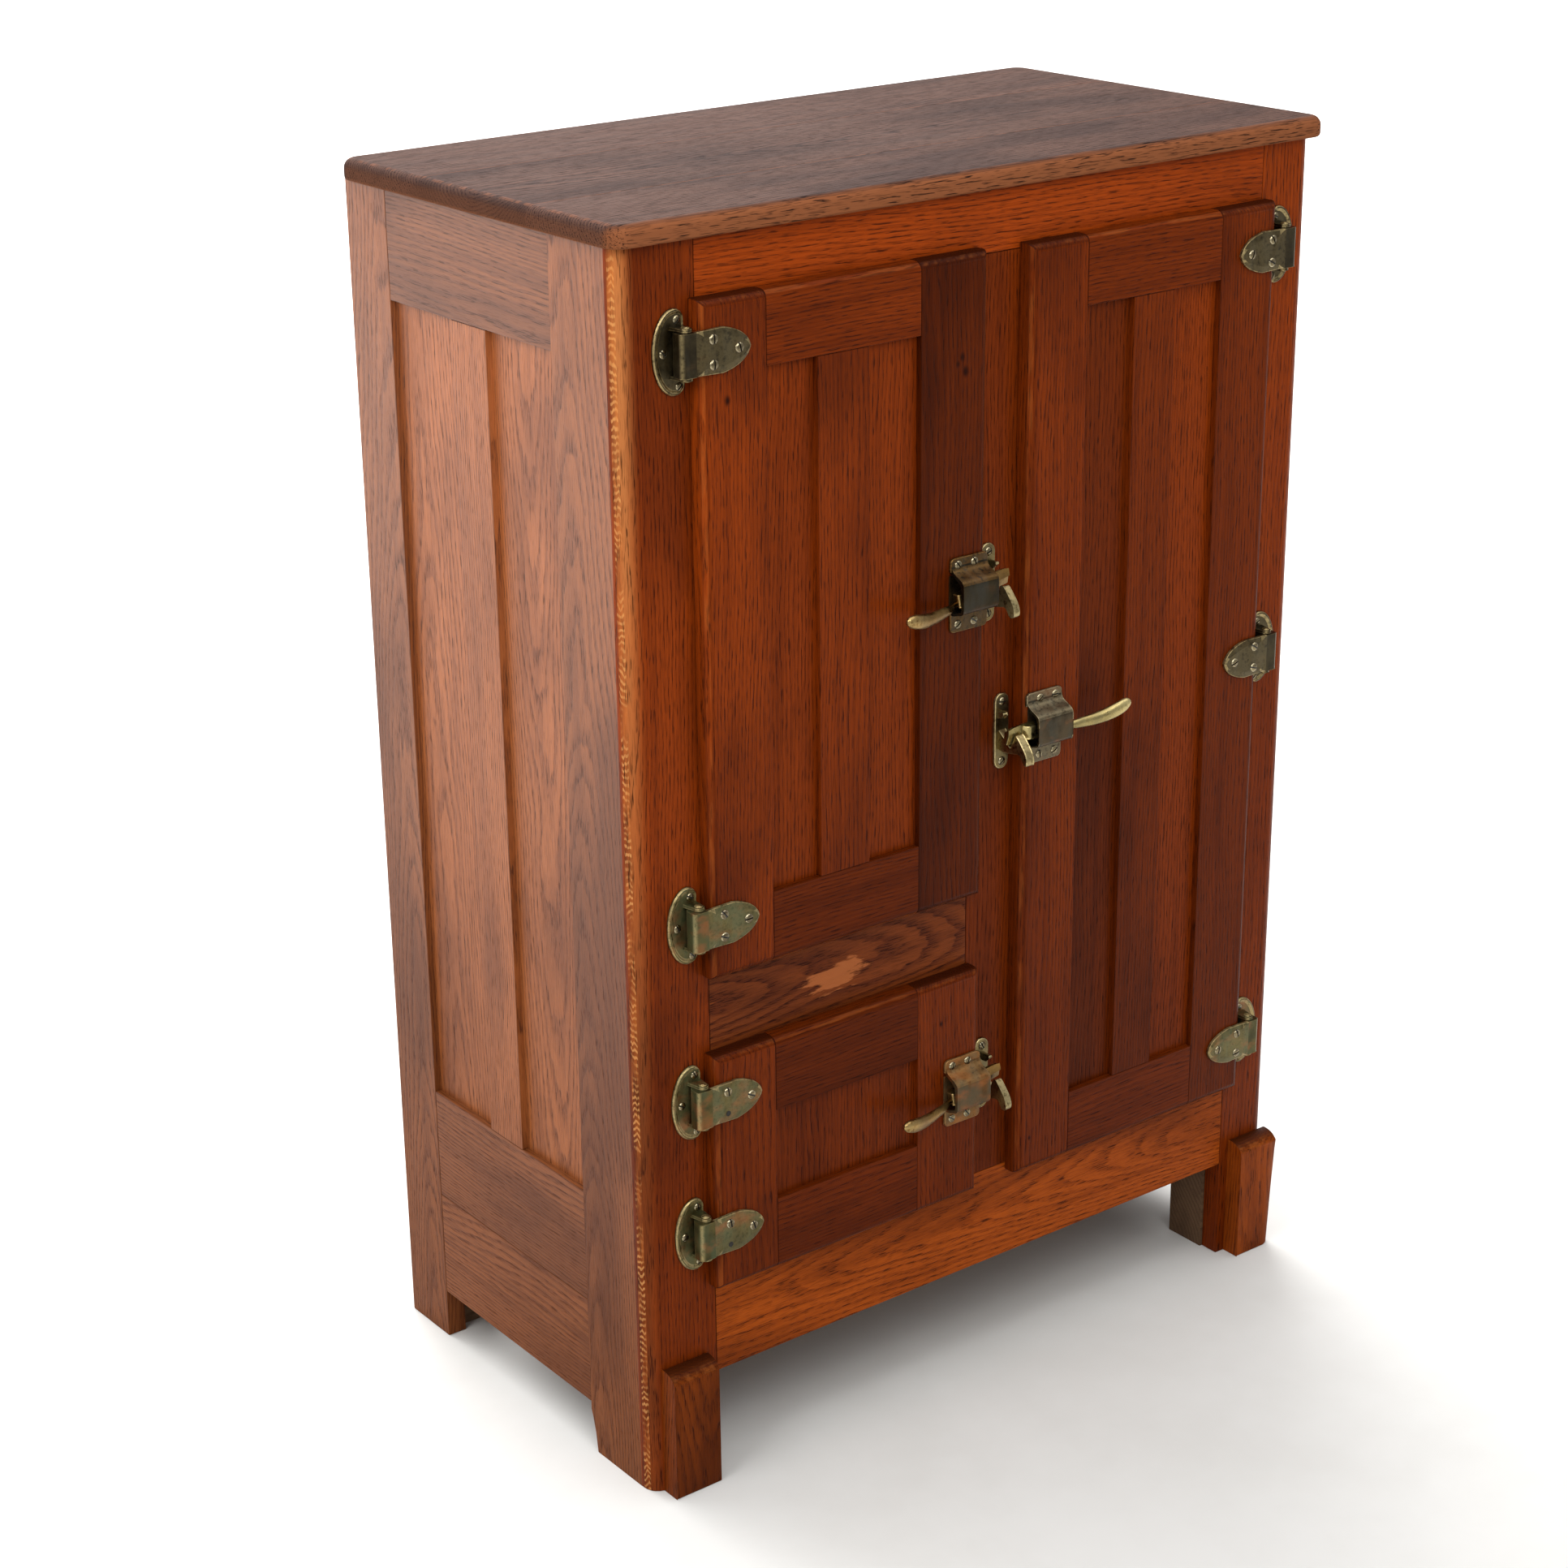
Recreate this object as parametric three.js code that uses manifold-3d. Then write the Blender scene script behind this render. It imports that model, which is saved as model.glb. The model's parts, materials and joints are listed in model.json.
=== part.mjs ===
// A three-door household icebox in oak with brass hardware: a panelled case on stub feet, an ice chamber behind
// the upper left door, a small compartment below it, and a tall food compartment on the right.
// Millimetres, +Z up. While it is built, X runs from the case's left side, Y from the front of the face frame
// towards the back, and Z from the floor. The last group moves it so that the origin is under its middle.
import * as THREE from "three";
import { mergeVertices } from "three/addons/utils/BufferGeometryUtils.js";
import Module from "manifold-3d";

// Case
const CASE_WIDTH = 798;
const CASE_DEPTH = 433;
const CASE_HEIGHT = 1175;
const FRAME_THICKNESS = 20.5;
const CORNER_RADIUS = 16;
const GAP = 0.3; // clearance between pieces that touch
const TOP_THICKNESS = 19.5;
const TOP_OVERHANG = 10;
const TOP_SETBACK = 4; // how far the top board stops short of the case's back
const TOP_EDGE = 9; // rounding along the top board's upper edge
const TOP_CORNER = 18; // rounding of its corners in plan

// Face frame openings
const LEFT_BAY = [75.5, 377];
const RIGHT_BAY = [438, 733.5];
const DOORWAY_TOP = 1118.5;
const DOORWAY_BOTTOM = 209;
const MID_RAIL = [433, 522.5];
const APRON_BOTTOM = 106.4;

// Sides: stiles and rails round one panel that a muntin divides
const SIDE_FRONT_STILE = 80;
const SIDE_REAR_STILE = 69.5;
const SIDE_WINDOW = [279, 1073.5];
const SIDE_MUNTIN = [205, 261];
const SIDE_BOARD_SEAM = 163.8;
const SIDE_APRON_BOTTOM = 51.8;
const FOOT_TAPER = 9; // how much the front side foot narrows to the floor
const FOOT_TAPER_TOP = 44;
const SEAM_WIDTH = 2.4;
const SEAM_DEPTH = 1.6;
const PANEL_RECESS = 6.3;
const PANEL_THICKNESS = 8.5;
const PANEL_TONGUE = 6; // how far a panel reaches behind its frame

// Feet
const FOOT_BLOCK = { width: 52.5, depth: 19, height: 131, topRise: 11, side: 15 };
const FOOT_BLOCK_AT = { left: 12.5, right: 745 };
const LEG_POST = 46.5; // square posts in the four corners, under the deck

// Inside
const DECK = [106.7, 126];
const BACK_THICKNESS = 12;
const LINER_THICKNESS = 2;
const LINER_BACK = 395;
const DRAIN = { x: 118, y: 356, radius: 13, wall: 1.6, bottom: 88 };
const SHELF_HEIGHTS = [430, 655, 880];
const SHELF_SPAN_Y = [52, 385];
const SHELF_ROD_RADIUS = 2.5;
const CLEAT = { width: 10, height: 8 };
const ICE_RACK_HEIGHT = 26;

// Doors: a panelled front that overlaps the frame, and an insulated core that fills the doorway
const LIP_THICKNESS = 18;
const LIP_EDGE = 8.5;
const CORE_DEPTH = 35;
const CORE_CLEARANCE = 6.5;
const CORE_BEVEL = 4;
const GASKET_DEPTH = [1, 9];
const GASKET_WIDTH = 3;
const DOORS = {
  ice_door: {
    x: [68.5, 381.5],
    z: [515.5, 1126],
    window: { x: [136, 304], z: [585, 1061.5] },
    muntin: [190, 246],
    bay: { x: LEFT_BAY, z: [MID_RAIL[1], DOORWAY_TOP] },
    hinges: [1083, 569],
    latch: { x: 359, z: 819, strikeOffset: 38 },
    hingeSide: -1,
  },
  lower_door: {
    x: [68.5, 380.5],
    z: [202, 440],
    window: { x: [136, 304], z: [276, 367.5] },
    muntin: null,
    bay: { x: LEFT_BAY, z: [DOORWAY_BOTTOM, MID_RAIL[0]] },
    hinges: [395, 261],
    latch: { x: 357.5, z: 321, strikeOffset: 39.5 },
    hingeSide: -1,
  },
  food_door: {
    x: [431, 737.5],
    z: [202, 1124],
    window: { x: [498.5, 665.5], z: [272, 1059.5] },
    muntin: [556.5, 607.5],
    bay: { x: RIGHT_BAY, z: [DOORWAY_BOTTOM, DOORWAY_TOP] },
    hinges: [1079, 678, 258],
    latch: { x: 453, z: 670, strikeOffset: 36.4 },
    hingeSide: 1,
  },
};

// Hinges. x is measured from the pin towards the door.
const PIN_DEPTH = 14.5; // the pins stand this far in front of the face frame
const PIN_RADIUS = 2.5;
const PIN_CLEARANCE = 0.3;
const PIN_TO_LIP = 12.5;
const LEAF = { thickness: 3.5, edge: 6, outer: -25, halfHeight: 36.7, endRadius: 9 };
const EAR = { radius: 5.2, thickness: 2.7, root: -8 };
const STRAP = { thickness: 4, wall: -10, tip: 62, rootHalf: 18.7, widestHalf: 19.5, widestX: 33, corner: 5 };
const KNUCKLE_SWEEP = 10.6; // the knuckle stays within this of the pin, so that it clears the leaf

// Latches. x is measured from the lever's pivot towards the strike.
const COVER = { flangeHalf: 21.8, archHalf: 19.7, halfHeight: 35, sheet: 2.7, archDepth: 14 };
const COVER_ARCH = { shoulder: 23, top: 14, bottom: -15 };
const LEVER_HUB = { radius: 9, bore: 3.3, y: [-30, -19.6] };
const PIVOT_RADIUS = 3;
const TONGUE = { length: 45.5, y: [-24.8, -19.2] };
const STRIKE = { drop: 2.5, width: 17.3, halfHeight: 37.5, thickness: 3, claw: 11 };
const HANDLE_END = { x: -84, y: -41.6, z: 10, radius: 5.5 };
const LEFT_LEVER_LIFT = 12; // degrees that the two left levers stand raised at rest

// Finishes
const OAK = { color: 0x8a3d1b, roughness: 0.42, metalness: 0 };
const OAK_SIDE = { color: 0x94552f, roughness: 0.5, metalness: 0 };
const OAK_TOP = { color: 0x5e3424, roughness: 0.6, metalness: 0 };
const RAW_WOOD = { color: 0x9c7a52, roughness: 0.8, metalness: 0 };
const ZINC = { color: 0xa9adad, roughness: 0.5, metalness: 0.8 };
const BRASS = { color: 0x7d6a3c, roughness: 0.35, metalness: 1 };
const FELT = { color: 0x3a332b, roughness: 1, metalness: 0 };
const CORK = { color: 0x6f5233, roughness: 1, metalness: 0 };

const ARC_STEPS = 5;
const wasm = await Module();
wasm.setup();

// A geometry as a solid that can be cut and joined.
function solidOf(geometry) {
  const bare = geometry.clone();
  bare.deleteAttribute("normal");
  bare.deleteAttribute("uv");
  const merged = mergeVertices(bare, 1e-3);
  return new wasm.Manifold(
    new wasm.Mesh({
      numProp: 3,
      vertProperties: merged.attributes.position.array,
      triVerts: new Uint32Array(merged.index.array),
    }),
  );
}

function join(pieces) {
  return pieces.map(solidOf).reduce((whole, piece) => whole.add(piece));
}

function cut(solid, pieces) {
  return pieces.map(solidOf).reduce((whole, piece) => whole.subtract(piece), solid);
}

// A named mesh from a solid or from a closed geometry.
function piece(name, shape, finish) {
  let geometry = shape;
  if (!shape.isBufferGeometry) {
    const { vertProperties, triVerts } = shape.getMesh();
    geometry = new THREE.BufferGeometry();
    geometry.setAttribute("position", new THREE.BufferAttribute(vertProperties, 3));
    geometry.setIndex(new THREE.BufferAttribute(triVerts, 1));
    geometry.computeVertexNormals();
  }
  const mesh = new THREE.Mesh(geometry, new THREE.MeshStandardMaterial(finish));
  mesh.name = name;
  return mesh;
}

function board(x, y, z) {
  const geometry = new THREE.BoxGeometry(x[1] - x[0], y[1] - y[0], z[1] - z[0]);
  return geometry.translate((x[0] + x[1]) / 2, (y[0] + y[1]) / 2, (z[0] + z[1]) / 2);
}

function inset(range, by) {
  return [range[0] + by, range[1] - by];
}

function extrude(shape, depth) {
  return new THREE.ExtrudeGeometry(shape, { depth, bevelEnabled: false, curveSegments: ARC_STEPS });
}

// An outline in X, Y carried up from z[0] to z[1].
function extrudeUp(shape, z) {
  return extrude(shape, z[1] - z[0]).translate(0, 0, z[0]);
}

// An outline in Y, Z carried along X.
function extrudeAcross(shape, x) {
  const turn = new THREE.Matrix4().set(0, 0, 1, 0, 1, 0, 0, 0, 0, 1, 0, 0, 0, 0, 0, 1);
  return extrude(shape, x[1] - x[0]).applyMatrix4(turn).translate(x[0], 0, 0);
}

// An outline in X, Z carried along Y.
function extrudeBack(shape, y) {
  return extrude(shape, y[1] - y[0]).rotateX(Math.PI / 2).translate(0, y[1], 0);
}

function upright(radius, x, y, z, sides = 20) {
  const geometry = new THREE.CylinderGeometry(radius, radius, z[1] - z[0], sides).rotateX(Math.PI / 2);
  return geometry.translate(x, y, (z[0] + z[1]) / 2);
}

function outline(points) {
  return new THREE.Shape(points.map(([u, v]) => new THREE.Vector2(u, v)));
}

// A rectangle whose four corners, taken from the lower left round to the upper left, have their own radii.
function roundRectangle(u, v, radii) {
  const [lowLeft, lowRight, highRight, highLeft] = radii;
  const shape = new THREE.Shape();
  shape.moveTo(u[0] + lowLeft, v[0]);
  shape.lineTo(u[1] - lowRight, v[0]);
  if (lowRight) shape.absarc(u[1] - lowRight, v[0] + lowRight, lowRight, -Math.PI / 2, 0);
  shape.lineTo(u[1], v[1] - highRight);
  if (highRight) shape.absarc(u[1] - highRight, v[1] - highRight, highRight, 0, Math.PI / 2);
  shape.lineTo(u[0] + highLeft, v[1]);
  if (highLeft) shape.absarc(u[0] + highLeft, v[1] - highLeft, highLeft, Math.PI / 2, Math.PI);
  shape.lineTo(u[0], v[0] + lowLeft);
  if (lowLeft) shape.absarc(u[0] + lowLeft, v[0] + lowLeft, lowLeft, Math.PI, 1.5 * Math.PI);
  return shape;
}

// A slab on z = 0 whose upper edge is rounded by edge. corner rounds it in plan.
function easedSlab(u, v, thickness, edge, corner) {
  const inner = Math.max(corner - edge, 0);
  const shape = roundRectangle(inset(u, edge), inset(v, edge), [inner, inner, inner, inner]);
  const rounded = new THREE.ExtrudeGeometry(shape, {
    depth: thickness,
    bevelThickness: edge,
    bevelSize: edge,
    bevelSegments: 3,
    curveSegments: ARC_STEPS,
  }).translate(0, 0, -edge);
  return solidOf(rounded).intersect(solidOf(board(u, v, [0, thickness])));
}

// The same slab turned to stand with its rounded edge forward and its back on y = 0.
function easedPanel(x, z, thickness, edge) {
  return easedSlab(x, z, thickness, edge, edge).rotate([90, 0, 0]);
}

function topBoard() {
  const slab = easedSlab(
    [-TOP_OVERHANG, CASE_WIDTH + TOP_OVERHANG],
    [-TOP_OVERHANG, CASE_DEPTH - TOP_SETBACK],
    TOP_THICKNESS,
    TOP_EDGE,
    TOP_CORNER,
  );
  return piece("top_board", slab.translate([0, 0, CASE_HEIGHT + GAP]), OAK_TOP);
}

function faceFrame() {
  const y = [0, FRAME_THICKNESS];
  const rails = [LEFT_BAY[0] + GAP, RIGHT_BAY[1] - GAP];
  const leftStile = roundRectangle([0, LEFT_BAY[0]], y, [CORNER_RADIUS, 0, 0, 0]);
  const rightStile = roundRectangle([RIGHT_BAY[1], CASE_WIDTH], y, [0, CORNER_RADIUS, 0, 0]);
  const centre = [LEFT_BAY[1] + GAP, RIGHT_BAY[0]];
  return [
    piece("left_front_stile", extrudeUp(leftStile, [0, CASE_HEIGHT]), OAK),
    piece("right_front_stile", extrudeUp(rightStile, [0, CASE_HEIGHT]), OAK),
    piece("center_front_stile", board(centre, y, [DOORWAY_BOTTOM + GAP, DOORWAY_TOP - GAP]), OAK),
    piece("front_top_rail", board(rails, y, [DOORWAY_TOP, CASE_HEIGHT]), OAK),
    piece("front_mid_rail", board([rails[0], LEFT_BAY[1]], y, MID_RAIL), OAK),
    piece("front_bottom_rail", board(rails, y, [APRON_BOTTOM, DOORWAY_BOTTOM]), OAK),
  ];
}

// One side of the case, drawn for the left and mirrored for the right.
function sideWall(side) {
  const front = FRAME_THICKNESS + GAP;
  const window = [front + SIDE_FRONT_STILE, CASE_DEPTH - SIDE_REAR_STILE];
  const profile = outline([
    [front, 0],
    [window[0] - FOOT_TAPER, 0],
    [window[0], FOOT_TAPER_TOP],
    [window[0], SIDE_APRON_BOTTOM],
    [window[1], SIDE_APRON_BOTTOM],
    [window[1], 0],
    [CASE_DEPTH, 0],
    [CASE_DEPTH, CASE_HEIGHT],
    [front, CASE_HEIGHT],
  ]);
  const whole = solidOf(extrudeAcross(profile, [0, FRAME_THICKNESS]));
  const through = [-1, FRAME_THICKNESS + 1];
  const rebate = [PANEL_RECESS, FRAME_THICKNESS + 1];
  const frame = cut(whole, [
    board(through, [window[0], SIDE_MUNTIN[0]], SIDE_WINDOW),
    board(through, [SIDE_MUNTIN[1], window[1]], SIDE_WINDOW),
    board(rebate, inset(window, -PANEL_TONGUE), inset(SIDE_WINDOW, -PANEL_TONGUE)),
    board([-1, SEAM_DEPTH], window, [SIDE_BOARD_SEAM - SEAM_WIDTH / 2, SIDE_BOARD_SEAM + SEAM_WIDTH / 2]),
  ]);
  const panel = solidOf(
    board(
      [PANEL_RECESS + GAP, PANEL_RECESS + GAP + PANEL_THICKNESS],
      inset(window, GAP - PANEL_TONGUE),
      inset(SIDE_WINDOW, GAP - PANEL_TONGUE),
    ),
  );
  const place = (solid) => (side === "left" ? solid : solid.mirror([1, 0, 0]).translate([CASE_WIDTH, 0, 0]));
  return [
    piece(side + "_side_frame", place(frame), OAK_SIDE),
    piece(side + "_side_panel", place(panel), OAK_SIDE),
  ];
}

function footBlock(side) {
  const { width, depth, height, topRise, side: round } = FOOT_BLOCK;
  const corners = side === "left" ? [round, 0, 0, 0] : [0, round, 0, 0];
  const plan = roundRectangle([0, width], [-depth, 0], corners);
  const shoulder = 2;
  const top = new THREE.Shape();
  top.moveTo(-depth - 1, height + 1);
  top.lineTo(-depth - 1, height - topRise);
  top.lineTo(-depth, height - topRise);
  top.absellipse(-shoulder, height - topRise, depth - shoulder, topRise, Math.PI, Math.PI / 2, true);
  top.lineTo(-shoulder, height + 1);
  const block = cut(solidOf(extrudeUp(plan, [0, height])), [extrudeAcross(top, [-1, width + 1])]);
  return piece(side + "_foot_block", block.translate([FOOT_BLOCK_AT[side], -GAP, 0]), OAK);
}

// The deck under the insulation, with the leg posts that stand in the corners below it.
function bottomDeck() {
  const x = [FRAME_THICKNESS + GAP, CASE_WIDTH - FRAME_THICKNESS - GAP];
  const y = [FRAME_THICKNESS + GAP, CASE_DEPTH - BACK_THICKNESS - GAP];
  const posts = [x[0], x[1] - LEG_POST].flatMap((left) =>
    [y[0], y[1] - LEG_POST].map((front) =>
      board([left, left + LEG_POST], [front, front + LEG_POST], [0, DECK[0] + 1]),
    ),
  );
  const deck = join([board(x, y, DECK), ...posts]);
  const hole = upright(DRAIN.radius + GAP, DRAIN.x, DRAIN.y, [DECK[0] - 1, DECK[1] + 1]);
  return piece("bottom_deck", cut(deck, [hole]), RAW_WOOD);
}

function backPanel() {
  const x = [FRAME_THICKNESS + GAP, CASE_WIDTH - FRAME_THICKNESS - GAP];
  return piece("back_panel", board(x, [CASE_DEPTH - BACK_THICKNESS, CASE_DEPTH], [DECK[0], CASE_HEIGHT]), RAW_WOOD);
}

const LINERS = {
  ice_liner: { x: LEFT_BAY, z: DOORS.ice_door.bay.z },
  lower_liner: { x: LEFT_BAY, z: DOORS.lower_door.bay.z },
  food_liner: { x: RIGHT_BAY, z: DOORS.food_door.bay.z },
};

// An open-fronted sheet-metal box, with cleats for its shelves.
function liner(name) {
  const { x, z } = LINERS[name];
  const y = [FRAME_THICKNESS + GAP, LINER_BACK];
  const shell = solidOf(board(inset(x, -LINER_THICKNESS), y, inset(z, -LINER_THICKNESS)));
  let made = cut(shell, [board(x, [y[0] - 1, y[1] - LINER_THICKNESS], z)]);
  if (name === "food_liner") {
    for (const height of SHELF_HEIGHTS) {
      const cleatZ = [height - SHELF_ROD_RADIUS - GAP - CLEAT.height, height - SHELF_ROD_RADIUS - GAP];
      made = made.add(solidOf(board([x[0] - 1, x[0] + CLEAT.width], SHELF_SPAN_Y, cleatZ)));
      made = made.add(solidOf(board([x[1] - CLEAT.width, x[1] + 1], SHELF_SPAN_Y, cleatZ)));
    }
  } else {
    made = cut(made, [upright(DRAIN.radius + GAP, DRAIN.x, DRAIN.y, [z[0] - LINER_THICKNESS - 1, z[0] + 1])]);
  }
  if (name === "lower_liner") {
    made = cut(made, [upright(DRAIN.radius + GAP, DRAIN.x, DRAIN.y, [z[1] - 1, z[1] + LINER_THICKNESS + 1])]);
  }
  return piece(name, made, ZINC);
}

// The packed fill between the case and the three liners.
function insulation() {
  const around = board(
    [FRAME_THICKNESS + GAP, CASE_WIDTH - FRAME_THICKNESS - GAP],
    [FRAME_THICKNESS + GAP, CASE_DEPTH - BACK_THICKNESS - GAP],
    [DECK[1] + GAP, CASE_HEIGHT],
  );
  const pockets = Object.values(LINERS).map(({ x, z }) =>
    board(
      inset(x, -LINER_THICKNESS - GAP),
      [FRAME_THICKNESS - 1, LINER_BACK + GAP],
      inset(z, -LINER_THICKNESS - GAP),
    ),
  );
  const drain = upright(DRAIN.radius + GAP, DRAIN.x, DRAIN.y, [DECK[0], MID_RAIL[1]]);
  return piece("insulation", cut(solidOf(around), [...pockets, drain]), CORK);
}

function drainPipe() {
  const z = [DRAIN.bottom, MID_RAIL[1] - LINER_THICKNESS + 1];
  const pipe = solidOf(upright(DRAIN.radius, DRAIN.x, DRAIN.y, z));
  const bore = upright(DRAIN.radius - DRAIN.wall, DRAIN.x, DRAIN.y, [z[0] - 1, z[1] + 1]);
  return piece("drain_pipe", cut(pipe, [bore]), ZINC);
}

// A slatted rack that keeps the ice block off the chamber's floor.
function iceRack() {
  const x = inset(LEFT_BAY, 4);
  const y = [50, LINER_BACK - 8];
  const floor = DOORS.ice_door.bay.z[0] + GAP;
  const slats = 7;
  const slatWidth = 26;
  const pitch = (y[1] - y[0] - slatWidth) / (slats - 1);
  const runners = [x[0] + 30, (x[0] + x[1]) / 2, x[1] - 30].map((middle) =>
    board([middle - 9, middle + 9], y, [floor, floor + ICE_RACK_HEIGHT - 11]),
  );
  const boards = Array.from({ length: slats }, (_, i) => {
    const front = y[0] + i * pitch;
    return board(x, [front, front + slatWidth], [floor + ICE_RACK_HEIGHT - 12, floor + ICE_RACK_HEIGHT]);
  });
  return piece("ice_rack", join([...runners, ...boards]), RAW_WOOD);
}

function shelf(index) {
  const x = inset(RIGHT_BAY, 1.5);
  const height = SHELF_HEIGHTS[index];
  const bars = 3;
  const rods = 10;
  const rodAcross = (y) => {
    const rod = new THREE.CylinderGeometry(SHELF_ROD_RADIUS, SHELF_ROD_RADIUS, x[1] - x[0], 6);
    return rod.rotateZ(Math.PI / 2).translate((x[0] + x[1]) / 2, y, height);
  };
  const rodAlong = (middle) => {
    const rod = new THREE.CylinderGeometry(SHELF_ROD_RADIUS, SHELF_ROD_RADIUS, SHELF_SPAN_Y[1] - SHELF_SPAN_Y[0], 6);
    return rod.translate(middle, (SHELF_SPAN_Y[0] + SHELF_SPAN_Y[1]) / 2, height + SHELF_ROD_RADIUS);
  };
  const spread = (range, count) =>
    Array.from({ length: count }, (_, i) => range[0] + ((range[1] - range[0]) * i) / (count - 1));
  const across = spread(inset(SHELF_SPAN_Y, SHELF_ROD_RADIUS), bars).map(rodAcross);
  const along = spread(inset(x, SHELF_ROD_RADIUS + 1), rods).map(rodAlong);
  return piece("food_shelf_" + (index + 1), join([...across, ...along]), ZINC);
}

// The wooden front, panel, insulated core and gasket of one door.
function doorLeaf(name, { x, z, window, muntin, bay }) {
  const through = [-LIP_THICKNESS - 1, 1];
  const openings = muntin
    ? [
        [window.x[0], muntin[0]],
        [muntin[1], window.x[1]],
      ]
    : [window.x];
  const frame = cut(easedPanel(x, z, LIP_THICKNESS - GAP, LIP_EDGE).translate([0, -GAP, 0]), [
    ...openings.map((span) => board(span, through, window.z)),
    board(
      inset(window.x, -PANEL_TONGUE),
      [-LIP_THICKNESS + PANEL_RECESS, 1],
      inset(window.z, -PANEL_TONGUE),
    ),
  ]);
  const panel = board(
    inset(window.x, GAP - PANEL_TONGUE),
    [-LIP_THICKNESS + PANEL_RECESS + GAP, -LIP_THICKNESS + PANEL_RECESS + GAP + PANEL_THICKNESS],
    inset(window.z, GAP - PANEL_TONGUE),
  );
  const coreX = inset(bay.x, CORE_CLEARANCE);
  const coreZ = inset(bay.z, CORE_CLEARANCE);
  const core = easedSlab(coreX, coreZ, CORE_DEPTH, CORE_BEVEL, 0).mirror([0, 1, 0]).rotate([-90, 0, 0]);
  const ring = cut(
    solidOf(board(inset(coreX, -GASKET_WIDTH - GAP), GASKET_DEPTH, inset(coreZ, -GASKET_WIDTH - GAP))),
    [board(inset(coreX, -GAP), [0, CORE_DEPTH], inset(coreZ, -GAP))],
  );
  return [
    piece(name + "_frame", frame, OAK),
    piece(name + "_panel", panel, OAK),
    piece(name + "_core", core.translate([0, GAP, 0]), ZINC),
    piece(name + "_gasket", ring, FELT),
  ];
}

// The half-moon plate on the face frame, with two ears and the pin that they hold. The door is towards +X.
function frameLeaf() {
  const { thickness, edge, outer, halfHeight, endRadius } = LEAF;
  const centre = edge - endRadius;
  const plate = new THREE.Shape();
  plate.moveTo(edge, -halfHeight + endRadius);
  plate.lineTo(edge, halfHeight - endRadius);
  plate.absarc(centre, halfHeight - endRadius, endRadius, 0, Math.PI / 2);
  plate.absellipse(centre, 0, centre - outer, halfHeight, Math.PI / 2, 1.5 * Math.PI);
  plate.absarc(centre, -halfHeight + endRadius, endRadius, -Math.PI / 2, 0);
  const ear = new THREE.Shape();
  ear.moveTo(EAR.root, -thickness + 1);
  ear.lineTo(-EAR.radius, -PIN_DEPTH);
  ear.absarc(0, -PIN_DEPTH, EAR.radius, Math.PI, 2 * Math.PI);
  ear.lineTo(edge, -thickness + 1);
  const earFoot = STRAP.rootHalf + 0.5;
  const pinEnd = earFoot + EAR.thickness + 1.4;
  return join([
    extrudeBack(plate, [-thickness, -GAP]),
    extrudeUp(ear, [earFoot, earFoot + EAR.thickness]),
    extrudeUp(ear, [-earFoot - EAR.thickness, -earFoot]),
    upright(PIN_RADIUS, 0, -PIN_DEPTH, [-pinEnd, pinEnd], 12),
  ]);
}

// The pointed strap on the door, with the knuckle that turns on the pin.
function strapLeaf() {
  const { thickness, wall, tip, rootHalf, widestHalf, widestX, corner } = STRAP;
  const back = -LIP_THICKNESS - GAP;
  const front = back - thickness;
  const plate = new THREE.Shape();
  plate.moveTo(wall + corner, -rootHalf);
  plate.lineTo(widestX, -widestHalf);
  plate.quadraticCurveTo(tip - 8, -widestHalf + 4, tip, 0);
  plate.quadraticCurveTo(tip - 8, widestHalf - 4, widestX, widestHalf);
  plate.lineTo(wall + corner, rootHalf);
  // The knuckle's back follows a circle about the pin, so that it clears the frame leaf as it turns.
  const knuckle = new THREE.Shape();
  const frontFace = front + PIN_DEPTH;
  const side = Math.sqrt(KNUCKLE_SWEEP ** 2 - wall ** 2);
  knuckle.moveTo(EAR.radius, frontFace);
  knuckle.lineTo(EAR.radius, Math.sqrt(KNUCKLE_SWEEP ** 2 - EAR.radius ** 2));
  knuckle.absarc(0, 0, KNUCKLE_SWEEP, Math.acos(EAR.radius / KNUCKLE_SWEEP), Math.PI - Math.atan2(side, -wall));
  knuckle.lineTo(wall, frontFace + corner);
  knuckle.absarc(wall + corner, frontFace + corner, corner, Math.PI, 1.5 * Math.PI);
  const body = join([
    extrudeBack(plate, [front, back]),
    extrudeUp(knuckle, [-rootHalf, rootHalf]).translate(0, -PIN_DEPTH, 0),
  ]);
  return cut(body, [upright(PIN_RADIUS + PIN_CLEARANCE, 0, -PIN_DEPTH, [-rootHalf - 1, rootHalf + 1], 12)]);
}

function hinges(name, { x, hinges: heights, hingeSide }) {
  const pinX = hingeSide < 0 ? x[0] - PIN_TO_LIP : x[1] + PIN_TO_LIP;
  const facing = (solid) => (hingeSide < 0 ? solid : solid.mirror([1, 0, 0]));
  const places = ["upper", "middle", "lower"].filter((place) => heights.length === 3 || place !== "middle");
  return heights.flatMap((height, i) => [
    piece(`${name}_${places[i]}_hinge_leaf`, facing(frameLeaf()).translate([pinX, 0, height]), BRASS),
    piece(`${name}_${places[i]}_hinge_strap`, facing(strapLeaf()).translate([pinX, 0, height]), BRASS),
  ]);
}

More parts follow.
